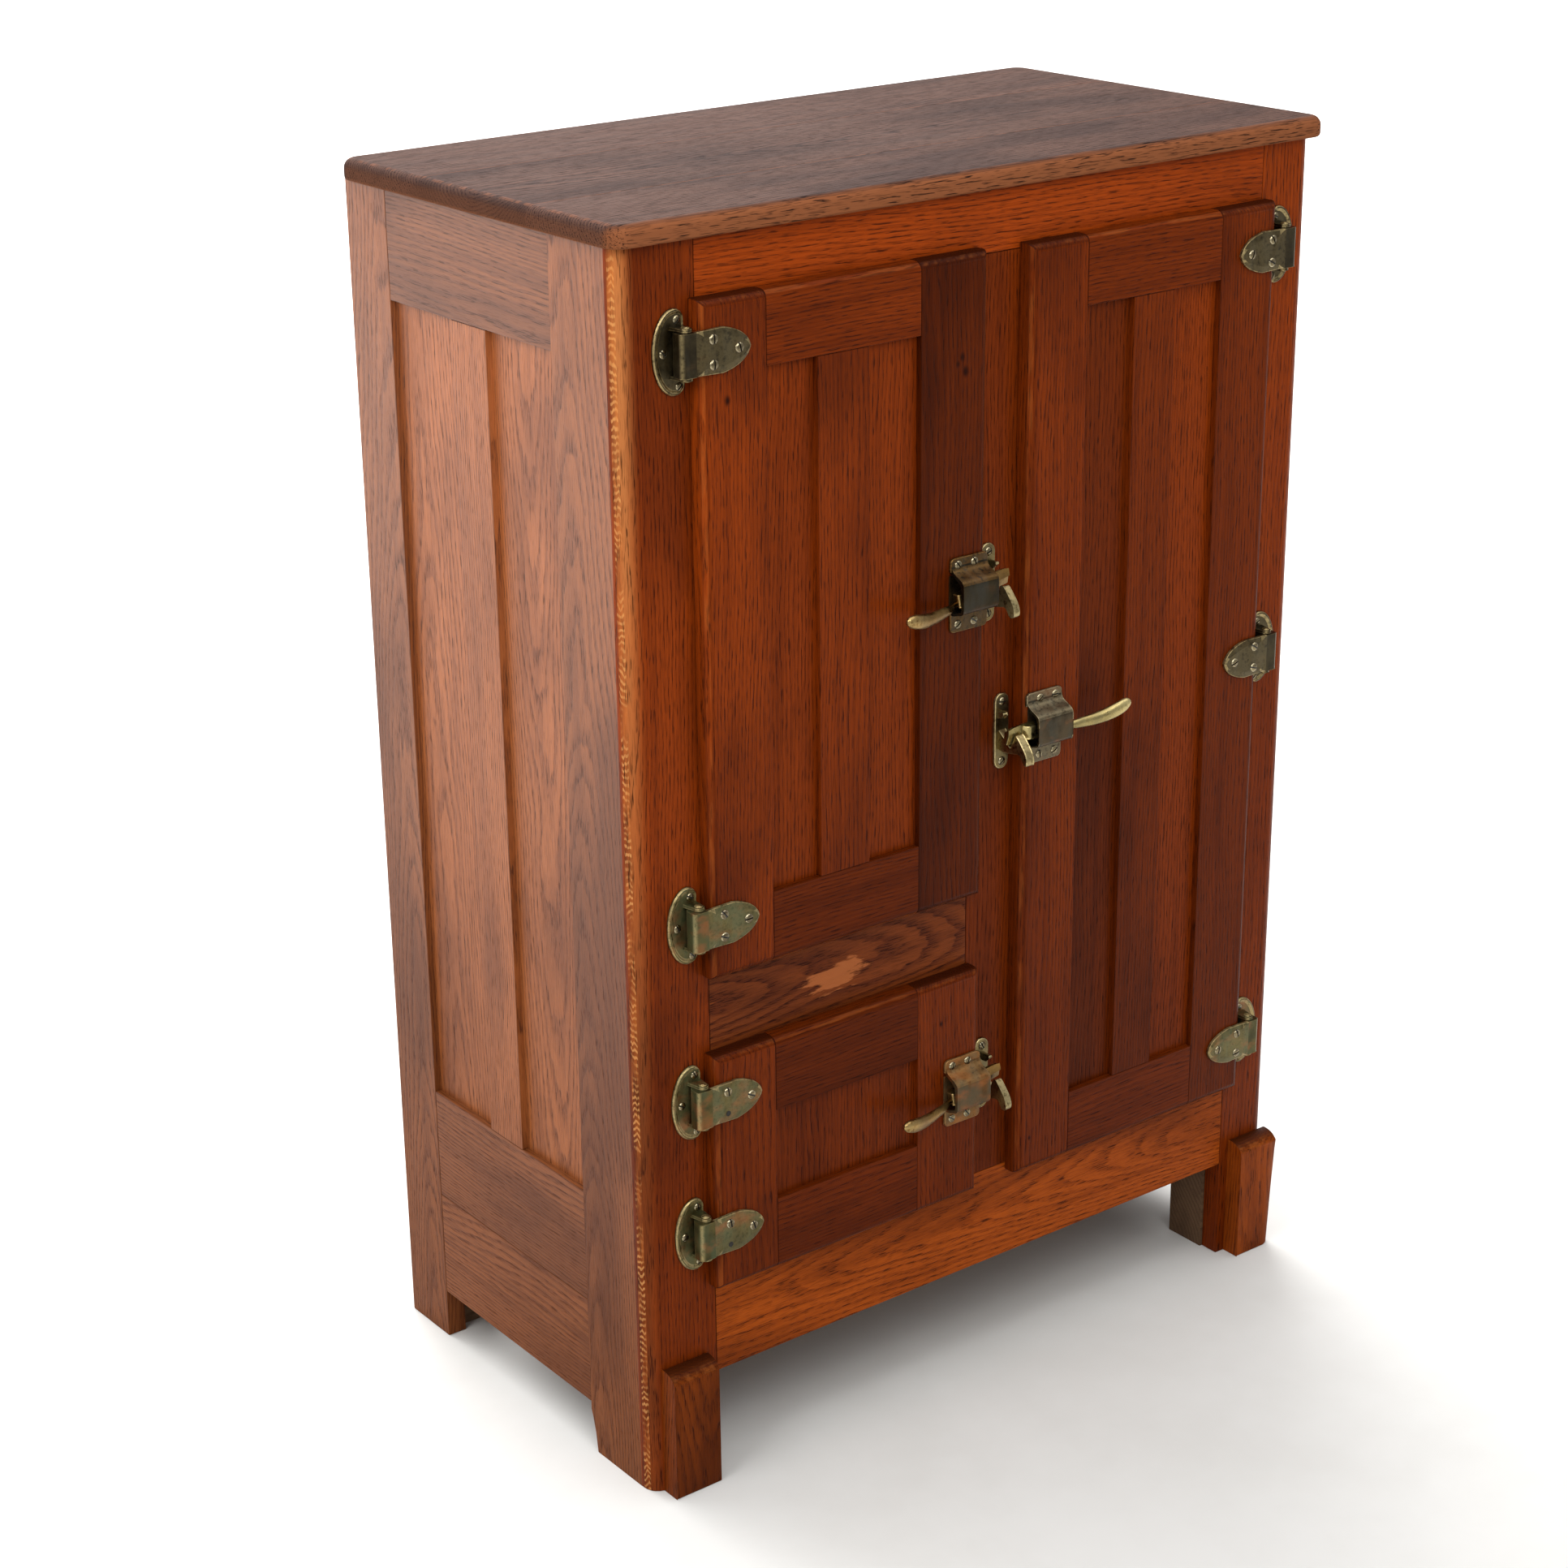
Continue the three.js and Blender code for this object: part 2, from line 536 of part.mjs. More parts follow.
// The bent cover over a latch's lever, with the post that the lever turns on.
function latchCover() {
  const { flangeHalf, archHalf, halfHeight, sheet, archDepth } = COVER;
  const { shoulder, top, bottom } = COVER_ARCH;
  const back = -LIP_THICKNESS - GAP;
  const flange = back - sheet;
  const front = flange - archDepth;
  const flanges = [
    board([-flangeHalf, flangeHalf], [flange, back], [shoulder - 2, halfHeight]),
    board([-flangeHalf, flangeHalf], [flange, back], [-halfHeight, bottom - sheet]),
  ];
  const profile = new THREE.Shape();
  profile.moveTo(flange, shoulder);
  profile.bezierCurveTo(flange - 2, shoulder - 5, front, top + 5, front, top);
  profile.lineTo(front, bottom - sheet);
  profile.lineTo(back, bottom - sheet);
  profile.lineTo(back, bottom);
  profile.lineTo(front + sheet, bottom);
  profile.lineTo(front + sheet, top);
  profile.bezierCurveTo(front + sheet, top + 4, back - 2, shoulder - 7, back, shoulder - 2);
  profile.lineTo(back, shoulder);
  const post = new THREE.CylinderGeometry(PIVOT_RADIUS, PIVOT_RADIUS, back - front - 1, 12);
  post.translate(0, (front + 1 + back) / 2, 0);
  return join([...flanges, extrudeAcross(profile, [-archHalf, archHalf]), post]);
}

// The spring-loaded lever, with its tongue towards +X and its handle towards -X.
function latchLever() {
  const hub = new THREE.CylinderGeometry(LEVER_HUB.radius, LEVER_HUB.radius, LEVER_HUB.y[1] - LEVER_HUB.y[0], 16);
  hub.translate(0, (LEVER_HUB.y[0] + LEVER_HUB.y[1]) / 2, 0);
  const bar = outline([
    [0, -4],
    [24, -3],
    [TONGUE.length - 12, -1],
    [TONGUE.length, -1],
    [TONGUE.length, 6],
    [22, 8],
    [0, 8],
  ]);
  const tooth = outline([
    [-15.5, -5.2],
    [-19.2, -11],
    [-20.4, -10.4],
    [-24.8, -0.3],
    [-24.8, 3],
    [-17, 3],
  ]);
  const path = new THREE.CatmullRomCurve3(
    [
      [0, -23.6, 1.5],
      [-19, -23.8, 1.5],
      [-30, -26.6, 1.5],
      [-48, -33, 3],
      [-66, -38.6, 6],
      [HANDLE_END.x, HANDLE_END.y, HANDLE_END.z],
    ].map(([x, y, z]) => new THREE.Vector3(x, y, z)),
  );
  const section = new THREE.Shape().absellipse(0, 0, 3.9, 5.2, 0, 2 * Math.PI);
  const grip = new THREE.ExtrudeGeometry(section, { extrudePath: path, steps: 10, curveSegments: 5 });
  const end = new THREE.SphereGeometry(HANDLE_END.radius, 10, 8);
  end.translate(HANDLE_END.x, HANDLE_END.y, HANDLE_END.z);
  const lever = join([
    hub,
    extrudeBack(bar, TONGUE.y),
    extrudeAcross(tooth, [TONGUE.length - 13.5, TONGUE.length]),
    grip,
    end,
  ]);
  const bore = new THREE.CylinderGeometry(LEVER_HUB.bore, LEVER_HUB.bore, 40, 12).translate(0, -25, 0);
  return cut(lever, [bore]);
}

// The strike on the centre stile: a plate with a hooked claw that holds the tongue, and a small horn above.
function strike(offset) {
  const { drop, width, halfHeight, thickness, claw } = STRIKE;
  const half = width / 2;
  const plate = roundRectangle(
    [offset - half, offset + half],
    [-halfHeight - drop, halfHeight - drop],
    Array(4).fill(half - 0.1),
  );
  const hook = new THREE.Shape();
  hook.moveTo(-1, -14);
  hook.lineTo(-1, 2);
  hook.lineTo(-3, 1.6);
  hook.lineTo(-19.6, -11.3);
  hook.lineTo(-26, 3.3);
  hook.bezierCurveTo(-31, 2.4, -39, -4, -42.3, -9.5);
  hook.lineTo(-43.9, -19.4);
  hook.lineTo(-38.5, -19.4);
  hook.lineTo(-30.5, -17.6);
  const horn = outline([
    [-1, 13],
    [-8, 15],
    [-12, 20],
    [-9, 21],
    [-1, 20],
  ]);
  return join([
    extrudeBack(plate, [-thickness, -GAP]),
    extrudeAcross(hook, [offset - claw / 2, offset + claw / 2]).translate(0, 0, -drop),
    extrudeAcross(horn, [offset + 1, offset + 6]).translate(0, 0, -drop),
  ]);
}

function latch(name, { latch: at, hingeSide }) {
  const facing = (solid) => (hingeSide < 0 ? solid : solid.mirror([1, 0, 0]));
  const lift = hingeSide < 0 ? -LEFT_LEVER_LIFT : 0;
  const place = (solid) => facing(solid).translate([at.x, 0, at.z]);
  return [
    piece(name + "_latch_cover", place(latchCover()), BRASS),
    piece(name + "_latch_lever", place(latchLever().rotate([0, lift, 0])), BRASS),
    piece(name + "_strike", place(strike(at.strikeOffset)), BRASS),
  ];
}

const FRONT_REACH = HANDLE_END.radius - HANDLE_END.y;
const icebox = new THREE.Group();
icebox.position.set(-CASE_WIDTH / 2, -(CASE_DEPTH - FRONT_REACH) / 2, 0);
icebox.add(topBoard(), ...faceFrame(), ...sideWall("left"), ...sideWall("right"));
icebox.add(footBlock("left"), footBlock("right"), bottomDeck(), backPanel(), insulation());
icebox.add(...Object.keys(LINERS).map(liner), drainPipe(), iceRack());
icebox.add(...SHELF_HEIGHTS.map((_, i) => shelf(i)));
for (const [name, door] of Object.entries(DOORS)) {
  icebox.add(...doorLeaf(name, door), ...hinges(name, door), ...latch(name, door));
}

export default icebox;
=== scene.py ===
"""The icebox's looks: boards round the case and doors, and brass hardware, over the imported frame."""

import json
import math
import random

import bmesh
import bpy
from mathutils import Matrix, Vector


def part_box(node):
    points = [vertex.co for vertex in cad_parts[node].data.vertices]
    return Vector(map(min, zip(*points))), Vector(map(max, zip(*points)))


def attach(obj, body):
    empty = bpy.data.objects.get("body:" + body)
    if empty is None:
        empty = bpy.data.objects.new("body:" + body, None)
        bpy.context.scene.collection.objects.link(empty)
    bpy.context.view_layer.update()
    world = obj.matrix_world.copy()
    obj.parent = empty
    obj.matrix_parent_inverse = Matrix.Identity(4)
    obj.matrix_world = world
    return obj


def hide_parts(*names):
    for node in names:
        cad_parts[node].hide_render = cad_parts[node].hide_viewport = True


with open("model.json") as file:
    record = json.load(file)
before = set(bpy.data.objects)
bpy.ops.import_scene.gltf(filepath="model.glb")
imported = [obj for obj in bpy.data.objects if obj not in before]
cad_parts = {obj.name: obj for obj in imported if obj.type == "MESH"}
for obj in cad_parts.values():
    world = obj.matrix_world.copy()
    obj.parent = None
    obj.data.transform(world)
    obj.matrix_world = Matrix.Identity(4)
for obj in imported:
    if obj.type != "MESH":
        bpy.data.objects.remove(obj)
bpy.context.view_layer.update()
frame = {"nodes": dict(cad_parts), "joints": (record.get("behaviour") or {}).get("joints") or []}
MM = 0.001
X, Y, Z = 0, 1, 2
rng = random.Random(11)
scene = bpy.context.scene

# ---------------------------------------------------------------- shading


class Shade:
    """A material whose nodes are added one call at a time."""

    def __init__(self, name):
        self.material = bpy.data.materials.new(name)
        self.material.use_nodes = True
        self.tree = self.material.node_tree
        self.surface = self.tree.nodes["Principled BSDF"]

    def feed(self, value, socket):
        if isinstance(value, bpy.types.NodeSocket):
            self.tree.links.new(value, socket)
        else:
            socket.default_value = value

    def node(self, kind, inputs, output=0, **settings):
        """Adds a node, feeds its inputs, and gives one of its outputs, or all where output is None."""
        made = self.tree.nodes.new("ShaderNode" + kind)
        for key, value in settings.items():
            setattr(made, key, value)
        for key, value in inputs.items():
            self.feed(value, made.inputs[key])
        return made.outputs if output is None else made.outputs[output]

    def place(self):
        return self.node("TexCoord", {}, "Object")

    def attribute(self, name, kind="Vector"):
        return self.node("Attribute", {}, kind, attribute_name=name)

    def split(self, vector):
        return self.node("SeparateXYZ", {0: vector}, None)

    def math(self, operation, a, b=0.0, clamp=False):
        return self.node("Math", {0: a, 1: b}, operation=operation, use_clamp=clamp)

    def times(self, a, b, clamp=False):
        return self.math("MULTIPLY", a, b, clamp)

    def plus(self, a, b, clamp=False):
        return self.math("ADD", a, b, clamp)

    def less(self, a, b, clamp=False):
        return self.math("SUBTRACT", a, b, clamp)

    def scaled(self, vector, factors):
        return self.node("VectorMath", {0: vector, 1: factors}, operation="MULTIPLY")

    def distance(self, point, scales):
        """The distance from a point of the object, with its axes scaled."""
        scaled_point = [a * b for a, b in zip(point, scales)]
        ends = {0: self.scaled(self.place(), scales), 1: scaled_point}
        return self.node("VectorMath", ends, "Value", operation="DISTANCE")

    def noise(self, vector, along, across, detail=2.0, roughness=0.5):
        """Noise in features per metre, along and across the grain."""
        inputs = {"Vector": self.scaled(vector, (along, across, across)), "Scale": 1.0}
        return self.node("TexNoise", {**inputs, "Detail": detail, "Roughness": roughness}, "Fac")

    def step(self, value, low, high):
        inputs = {"Value": value, "From Min": low, "From Max": high}
        return self.node("MapRange", inputs, "Result", interpolation_type="SMOOTHSTEP")

    def mix(self, factor, a, b):
        a, b = [(*tint, 1.0) if isinstance(tint, tuple) else tint for tint in (a, b)]
        return self.node("Mix", {0: factor, 6: a, 7: b}, 2, data_type="RGBA")

    def brighten(self, tint, value):
        return self.node("VectorMath", {0: tint, "Scale": value}, operation="SCALE")

    def bump(self, height, strength, distance):
        inputs = {"Height": height, "Strength": strength, "Distance": distance}
        self.feed(self.node("Bump", inputs, "Normal"), self.surface.inputs["Normal"])

    def finish(self, tint, roughness, **fixed):
        self.feed(tint, self.surface.inputs["Base Color"])
        self.feed(roughness, self.surface.inputs["Roughness"])
        for key, value in fixed.items():
            self.feed(value, self.surface.inputs[key.replace("_", " ")])
        return self.material


RAY_GROUND, RAY_RUNG = (0.52, 0.19, 0.056), (0.66, 0.32, 0.1)  # the ray fleck on the left corner post
BARE_WOOD, GRIME = (0.36, 0.105, 0.03), (0.012, 0.01, 0.007)


def wood(
    name, light, mid, dark, pore, worn, ring=3.4, figure=0.7, pores=0.75, rough=0.36, spec=0.3,
    ladder=False, cad=False, knots=(), bare=None,
):
    """Ring-porous wood, its rings in millimetres. The grain attribute is a board's place in its log, with the
    pith on x. The look attribute is its tone, its wear (dirt where negative) and its end grain. spec may be a
    pair: at the floor and at the top."""
    s = Shade(name)
    if cad:
        grain = s.node("VectorMath", {0: s.place(), 1: (0.3, 0.02, 0.05)}, operation="ADD")
    else:
        grain = s.attribute("grain")
    tone, edge, end = s.split(s.attribute("look"))
    x, y, z = s.split(grain)
    wander = s.noise(grain, 2.4, 10.0, 2.0)
    jitter = s.noise(grain, 26.0, 170.0, 2.0)
    radius = s.math("SQRT", s.plus(s.times(y, y), s.times(z, z)))
    turns = s.times(radius, 1000.0 / ring)
    turns = s.plus(turns, s.times(wander, 30.0 / ring))
    turns = s.plus(turns, s.times(jitter, 2.4 / ring))
    phase = s.math("FRACT", turns)
    early = s.less(1.0, s.step(phase, 0.0, 0.62))
    early = s.math("MAXIMUM", early, s.step(phase, 0.9, 1.0))
    fibre = s.noise(grain, 11.0, 760.0, 3.0, 0.6)
    streak = s.noise(grain, 1.5, 75.0, 3.0, 0.6)
    blotch = s.noise(grain, 3.0, 9.0, 3.0, 0.55)
    dashes = s.noise(grain, 62.0, 1050.0, 1.0)
    holes = s.times(s.step(dashes, 0.51, 0.62), s.plus(s.times(early, 0.7), 0.3))
    tint = s.mix(s.times(early, figure, True), light, mid)
    tint = s.mix(s.times(s.step(streak, 0.42, 0.72), 0.55), tint, mid)
    tint = s.mix(s.times(s.step(blotch, 0.46, 0.72), 0.6), tint, dark)
    tint = s.brighten(tint, s.plus(s.times(tone, 0.5), 0.74))
    tint = s.brighten(tint, s.plus(s.times(fibre, 0.5), 0.75))
    height = s.split(s.place())[Z]
    # Painted shade: every board is darker towards the floor and lighter near the top, standing in for light
    # that falls from above.
    tint = s.brighten(tint, s.plus(s.times(s.step(height, -0.1, 1.15), 0.42), 0.72))
    band = s.attribute("fleck", "Fac")
    if ladder:
        # The fleck is real figure, but its fading towards the floor is painted shade, as light falls from
        # above.
        high_up = s.plus(s.times(s.step(height, 0.25, 1.15), 0.7), 0.08)
        tint = s.mix(s.times(band, high_up), tint, RAY_GROUND)
        rungs = s.plus(s.times(x, 150.0), s.times(jitter, 2.6))
        rungs = s.step(s.math("SINE", s.times(rungs, 2.0 * math.pi)), -0.2, 0.9)
        rungs = s.times(rungs, s.step(s.noise(grain, 22.0, 60.0, 2.0), 0.36, 0.6))
        rungs = s.times(rungs, s.times(edge, s.step(band, 0.02, 0.1)))
        tint = s.mix(s.times(rungs, 0.52), tint, RAY_RUNG)
    else:
        tint = s.mix(s.times(band, 0.85), tint, worn)
    tint = s.mix(s.times(holes, pores, True), tint, pore)
    rub = s.times(edge, s.step(s.noise(grain, 24.0, 150.0, 3.0), 0.42, 0.66))
    tint = s.mix(s.times(rub, 0.3, True), tint, worn)
    tint = s.mix(s.times(edge, -0.7, True), tint, pore)
    tint = s.mix(s.times(end, 0.9), tint, pore)
    if bare:
        near = s.distance((bare[0], 0.0, bare[1]), (0.38, 0.0, 1.0))
        ragged = s.plus(near, s.times(s.noise(grain, 26.0, 150.0, 4.0, 0.65), 0.036))
        patch = s.times(s.less(1.0, s.step(ragged, 0.0275, 0.0315)), 0.85)
        tint = s.mix(patch, tint, BARE_WOOD)
    for spot_x, spot_z, size in knots:
        near = s.distance((spot_x, 0.0, spot_z), (1.0, 0.0, 0.7))
        ragged = s.plus(near, s.times(jitter, size * 0.9))
        tint = s.mix(s.less(1.0, s.step(ragged, size * 0.6, size * 1.7)), tint, pore)
    relief_of = s.less(s.times(fibre, 0.6), s.plus(holes, s.times(early, 0.3)))
    s.bump(relief_of, 0.3, 0.0006)
    gloss = s.plus(s.times(blotch, 0.16), rough - 0.08)
    gloss = s.plus(gloss, s.times(holes, 0.2), True)
    if isinstance(spec, tuple):
        span = s.times(s.step(height, 0.05, 1.15), spec[1] - spec[0])
        spec = s.plus(span, spec[0])
    return s.finish(tint, gloss, Specular_IOR_Level=spec)


def metal(name, bright, dull, dark, stain, other, stained=0.5, patched=0.3, rough=0.36):
    """Old brass: dull where it is flat, brighter on its rims, with a stain and patches of another colour."""
    s = Shade(name)
    grain = s.attribute("grain")
    edge = s.split(s.attribute("look"))[1]
    cloud = s.noise(grain, 46.0, 46.0, 4.0, 0.6)
    spots = s.noise(grain, 260.0, 260.0, 3.0, 0.6)
    patches = s.noise(grain, 33.0, 58.0, 3.0, 0.55)
    runs = s.noise(grain, 95.0, 24.0, 3.0, 0.55)
    tint = s.mix(s.step(cloud, 0.36, 0.66), dull, dark)
    stain_mask = s.times(s.step(runs, 0.5 - 0.22 * stained, 0.66), stained, True)
    tint = s.mix(stain_mask, tint, stain)
    patch_mask = s.times(s.step(patches, 0.58 - 0.2 * patched, 0.7), min(1.0, patched * 1.6), True)
    tint = s.mix(patch_mask, tint, other)
    rubbed = s.times(edge, s.step(spots, 0.26, 0.56))
    tint = s.mix(s.times(rubbed, 0.85), tint, bright)
    tint = s.mix(s.times(s.step(spots, 0.58, 0.74), 0.5), tint, dark)
    dirt = s.times(edge, -0.92, True)
    tint = s.mix(dirt, tint, GRIME)
    gloss = s.plus(s.times(spots, 0.3), rough - 0.12)
    gloss = s.plus(gloss, s.times(stain_mask, 0.16), True)
    s.bump(s.plus(s.times(spots, 0.5), cloud), 0.25, 0.0005)
    shine = s.less(s.less(1.0, s.times(stain_mask, 0.45)), dirt, True)
    return s.finish(tint, gloss, Metallic=shine)


def sheet_metal(name, light, dark, rough):
    """Galvanised sheet, with faint spangles and grey bloom."""
    s = Shade(name)
    place = s.place()
    cells = s.node("TexVoronoi", {"Vector": s.scaled(place, (85.0, 85.0, 85.0)), "Scale": 1.0}, "Color")
    spangle = s.times(s.split(cells)[0], 0.4)
    bloom = s.noise(place, 7.0, 7.0, 4.0, 0.6)
    fine = s.noise(place, 240.0, 240.0, 3.0)
    tint = s.mix(s.plus(spangle, s.step(bloom, 0.4, 0.75), True), light, dark)
    s.bump(s.plus(fine, spangle), 0.12, 0.0004)
    return s.finish(tint, s.plus(s.times(bloom, 0.3), rough), Metallic=0.75)


def plain(name, light, dark, scale, rough, depth=0.0006):
    """A fibrous or gritty matt surface, such as felt, cork or the floor."""
    s = Shade(name)
    place = s.place()
    cloud = s.noise(place, scale, scale, 5.0, 0.6)
    fine = s.noise(place, scale * 9.0, scale * 9.0, 3.0)
    tint = s.mix(s.step(s.plus(cloud, s.times(fine, 0.25)), 0.45, 0.85), light, dark)
    s.bump(fine, 0.25, depth)
    return s.finish(tint, rough)


KNOTS = (
    (-0.3040, 1.0385, 0.0040), (-0.0485, 1.0358, 0.0034), (-0.0445, 1.0222, 0.0040),
    (-0.0530, 1.0301, 0.0030), (-0.0665, 0.3959, 0.0026), (0.0480, 0.2380, 0.0020), (0.3400, 0.9000, 0.0024),
)  # x, z and size, in metres
FRONT = wood(
    "front_oak", (0.214, 0.0325, 0.0027), (0.114, 0.0158, 0.0014), (0.056, 0.0078, 0.0011),
    (0.02, 0.0036, 0.001), (0.54, 0.15, 0.028), figure=0.5, pores=0.8, rough=0.3, spec=0.04,
    ladder=True, knots=KNOTS,
)
MID = wood(
    "mid_rail_oak", (0.16, 0.035, 0.007), (0.075, 0.014, 0.0035), (0.04, 0.008, 0.0024),
    (0.016, 0.004, 0.0016), (0.42, 0.095, 0.02), figure=0.8, pores=0.8, spec=0.05, bare=(-0.1778, 0.4711),
)
SIDE = wood(
    "side_oak", (0.29, 0.086, 0.023), (0.16, 0.042, 0.0105), (0.098, 0.024, 0.0062),
    (0.05, 0.014, 0.005), (0.46, 0.17, 0.06), figure=0.7, pores=0.75, rough=0.4, spec=(0.06, 0.46),
)
TOP = wood(
    "top_oak", (0.074, 0.0325, 0.0205), (0.036, 0.0165, 0.012), (0.021, 0.0106, 0.009),
    (0.0075, 0.0052, 0.0048), (0.24, 0.08, 0.03), figure=0.75, pores=0.95, rough=0.7, spec=0.03,
)
LOW = wood(
    "base_oak", (0.3, 0.057, 0.0049), (0.16, 0.0275, 0.0026), (0.08, 0.0137, 0.0019),
    (0.024, 0.005, 0.0014), (0.5, 0.15, 0.03), figure=0.55, pores=0.8, rough=0.34, spec=0.04,
)
RAW = wood(
    "raw_wood", (0.235, 0.135, 0.064), (0.15, 0.08, 0.036), (0.095, 0.05, 0.024),
    (0.05, 0.026, 0.013), (0.42, 0.27, 0.15), ring=5.0, pores=0.35, rough=0.75, spec=0.2,
)
RAW_CAD = wood(
    "raw_wood_cad", (0.25, 0.14, 0.07), (0.16, 0.082, 0.04), (0.09, 0.046, 0.024),
    (0.05, 0.026, 0.014), (0.4, 0.25, 0.14), ring=5.0, pores=0.35, rough=0.75, spec=0.2, cad=True,
)
BRASS_BRIGHT = (0.46, 0.35, 0.16)
DARK_BRASS = metal(
    "brass_dark", BRASS_BRIGHT, (0.06, 0.046, 0.024), (0.032, 0.025, 0.015),
    (0.042, 0.037, 0.021), (0.13, 0.075, 0.034), stained=0.35, patched=0.12, rough=0.33,
)
GREEN_BRASS = metal(
    "brass_green", BRASS_BRIGHT, (0.105, 0.086, 0.032), (0.052, 0.046, 0.02),
    (0.056, 0.07, 0.027), (0.23, 0.088, 0.03), stained=0.8, patched=0.5, rough=0.33,
)
ICE_COVER = metal(
    "brass_ice_cover", (0.25, 0.125, 0.034), (0.04, 0.03, 0.016), (0.026, 0.021, 0.014),
    (0.028, 0.027, 0.02), (0.08, 0.036, 0.015), stained=0.5, patched=0.3, rough=0.36,
)
COPPER_COVER = metal(
    "brass_copper_cover", (0.34, 0.19, 0.07), (0.15, 0.066, 0.02), (0.08, 0.042, 0.016),
    (0.07, 0.062, 0.032), (0.26, 0.09, 0.024), stained=0.7, patched=0.8, rough=0.4,
)
DARK_COVER = metal(
    "brass_dark_cover", (0.36, 0.29, 0.17), (0.078, 0.056, 0.032), (0.042, 0.033, 0.021),
    (0.048, 0.05, 0.034), (0.18, 0.07, 0.026), stained=0.4, patched=0.35, rough=0.3,
)
BROWN_BRASS = metal(
    "brass_brown", (0.46, 0.32, 0.13), (0.215, 0.116, 0.03), (0.115, 0.065, 0.021),
    (0.12, 0.082, 0.029), (0.2, 0.105, 0.04), stained=0.3, patched=0.3, rough=0.28,
)
YELLOW_BRASS = metal(
    "brass_yellow", (0.66, 0.54, 0.25), (0.36, 0.285, 0.115), (0.19, 0.145, 0.062),
    (0.22, 0.195, 0.085), (0.32, 0.215, 0.08), stained=0.25, patched=0.3, rough=0.26,
)
KEEPER_BRASS = metal(
    "brass_keeper", (0.62, 0.5, 0.25), (0.17, 0.125, 0.05), (0.09, 0.064, 0.03),
    (0.1, 0.092, 0.044), (0.2, 0.125, 0.048), stained=0.35, patched=0.3, rough=0.28,
)
SCREW_BRASS = metal(
    "brass_screw", (0.5, 0.43, 0.28), (0.26, 0.205, 0.11), (0.13, 0.1, 0.055),
    (0.17, 0.16, 0.1), (0.22, 0.15, 0.075), stained=0.3, patched=0.2, rough=0.2,
)
ZINC = sheet_metal("zinc", (0.46, 0.48, 0.49), (0.27, 0.285, 0.29), 0.32)
FELT = plain("felt", (0.05, 0.042, 0.034), (0.022, 0.018, 0.015), 60.0, 0.95)
CORK = plain("cork", (0.24, 0.145, 0.075), (0.12, 0.068, 0.035), 90.0, 0.95)
# Painted shade: a near-black finish for the flat disc that stands in for an empty screw hole.
HOLE_SHADE = plain("painted_hole_shade", (0.02, 0.017, 0.013), (0.01, 0.009, 0.007), 90.0, 0.9)
FLOOR = plain("floor", (0.64, 0.635, 0.617), (0.6, 0.592, 0.57), 2.2, 0.8, 0.0008)

# ---------------------------------------------------------------- shapes


class Stock:
    """Gathers shaped parts into one piece, and keeps each face corner's grain and look."""

    def __init__(self):
        self.verts, self.faces, self.grain, self.look, self.fleck = [], [], [], [], []

    def add(self, bm, grain, tone=0.5, place=None, along=None, worn=None, fleck=None, end_grain=None):
        """Takes a bmesh. grain gives a point's place in the log, and worn a face's wear, from -1 to 1. A part
        with its own end_grain is an open part of a shell, whose faces aren't turned."""
        if not end_grain:
            bmesh.ops.recalc_face_normals(bm, faces=bm.faces)
        bm.normal_update()
        bm.verts.index_update()
        base = len(self.verts)
        self.verts += [place @ v.co if place else v.co.copy() for v in bm.verts]
        mirrored = place is not None and place.determinant() < 0
        for face in bm.faces:
            wear = worn(face) if worn else off_axis(face.normal)
            end = 0.0
            if along is not None:
                end = end_grain(face) if end_grain else face.normal[along] ** 2
            points = list(reversed(face.verts)) if mirrored else list(face.verts)
            self.faces.append([base + v.index for v in points])
            for v in points:
                self.grain += grain(v.co)
                self.look += (tone, wear, end)
                self.fleck.append(fleck(v.co, face) if fleck else 0.0)
        bm.free()

    def piece(self, name, material, body, slot, *nodes):
        mesh = bpy.data.meshes.new(name)
        mesh.from_pydata(self.verts, [], self.faces)
        mesh.attributes.new("grain", "FLOAT_VECTOR", "CORNER").data.foreach_set("vector", self.grain)
        mesh.attributes.new("look", "FLOAT_VECTOR", "CORNER").data.foreach_set("vector", self.look)
        mesh.attributes.new("fleck", "FLOAT", "CORNER").data.foreach_set("value", self.fleck)
        mesh.shade_smooth()
        mesh.set_sharp_from_angle(angle=math.radians(38))
        mesh.materials.append(material)
        made = placed(name, mesh)
        weighted = made.modifiers.new("weighted", "WEIGHTED_NORMAL")
        weighted.keep_sharp = True
        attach(made, body)
        if nodes:
            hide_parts(*nodes)
        return made


def edge_wear(amount, base=0.0):
    """Wear on the eased edges: a function of the face."""
    return lambda face: base + amount * off_axis(face.normal)


def joint_dirt(face):
    """Small eased edges hold dirt: a negative wear."""
    return -off_axis(face.normal)


def off_axis(normal):
    return min(1.0, (1.0 - max(abs(c) for c in normal)) / 0.2)


def clamp(value, least=0.0):
    return min(1.0, max(least, value))


def placed(name, data):
    made = bpy.data.objects.new(name, data)
    scene.collection.objects.link(made)
    return made


def box_mesh(low, high):
    bm = bmesh.new()
    bmesh.ops.create_cube(bm, size=1.0)
    for v in bm.verts:
        v.co = Vector([low[i] + (v.co[i] + 0.5) * (high[i] - low[i]) for i in range(3)])
    return bm


def skin(bm, rings):
    """Joins each ring of corners to the next, and caps the first and last. A ring may be one point."""
    for ring in (rings[0], rings[-1]):
        if len(ring) > 1:
            bm.faces.new(ring)
    for low, high in zip(rings, rings[1:]):
        sides = max(len(low), len(high))
        for i in range(sides):
            j = (i + 1) % sides
            corners = (low[i % len(low)], low[j % len(low)], high[j % len(high)], high[i % len(high)])
            bm.faces.new(list(dict.fromkeys(corners)))
    return bm


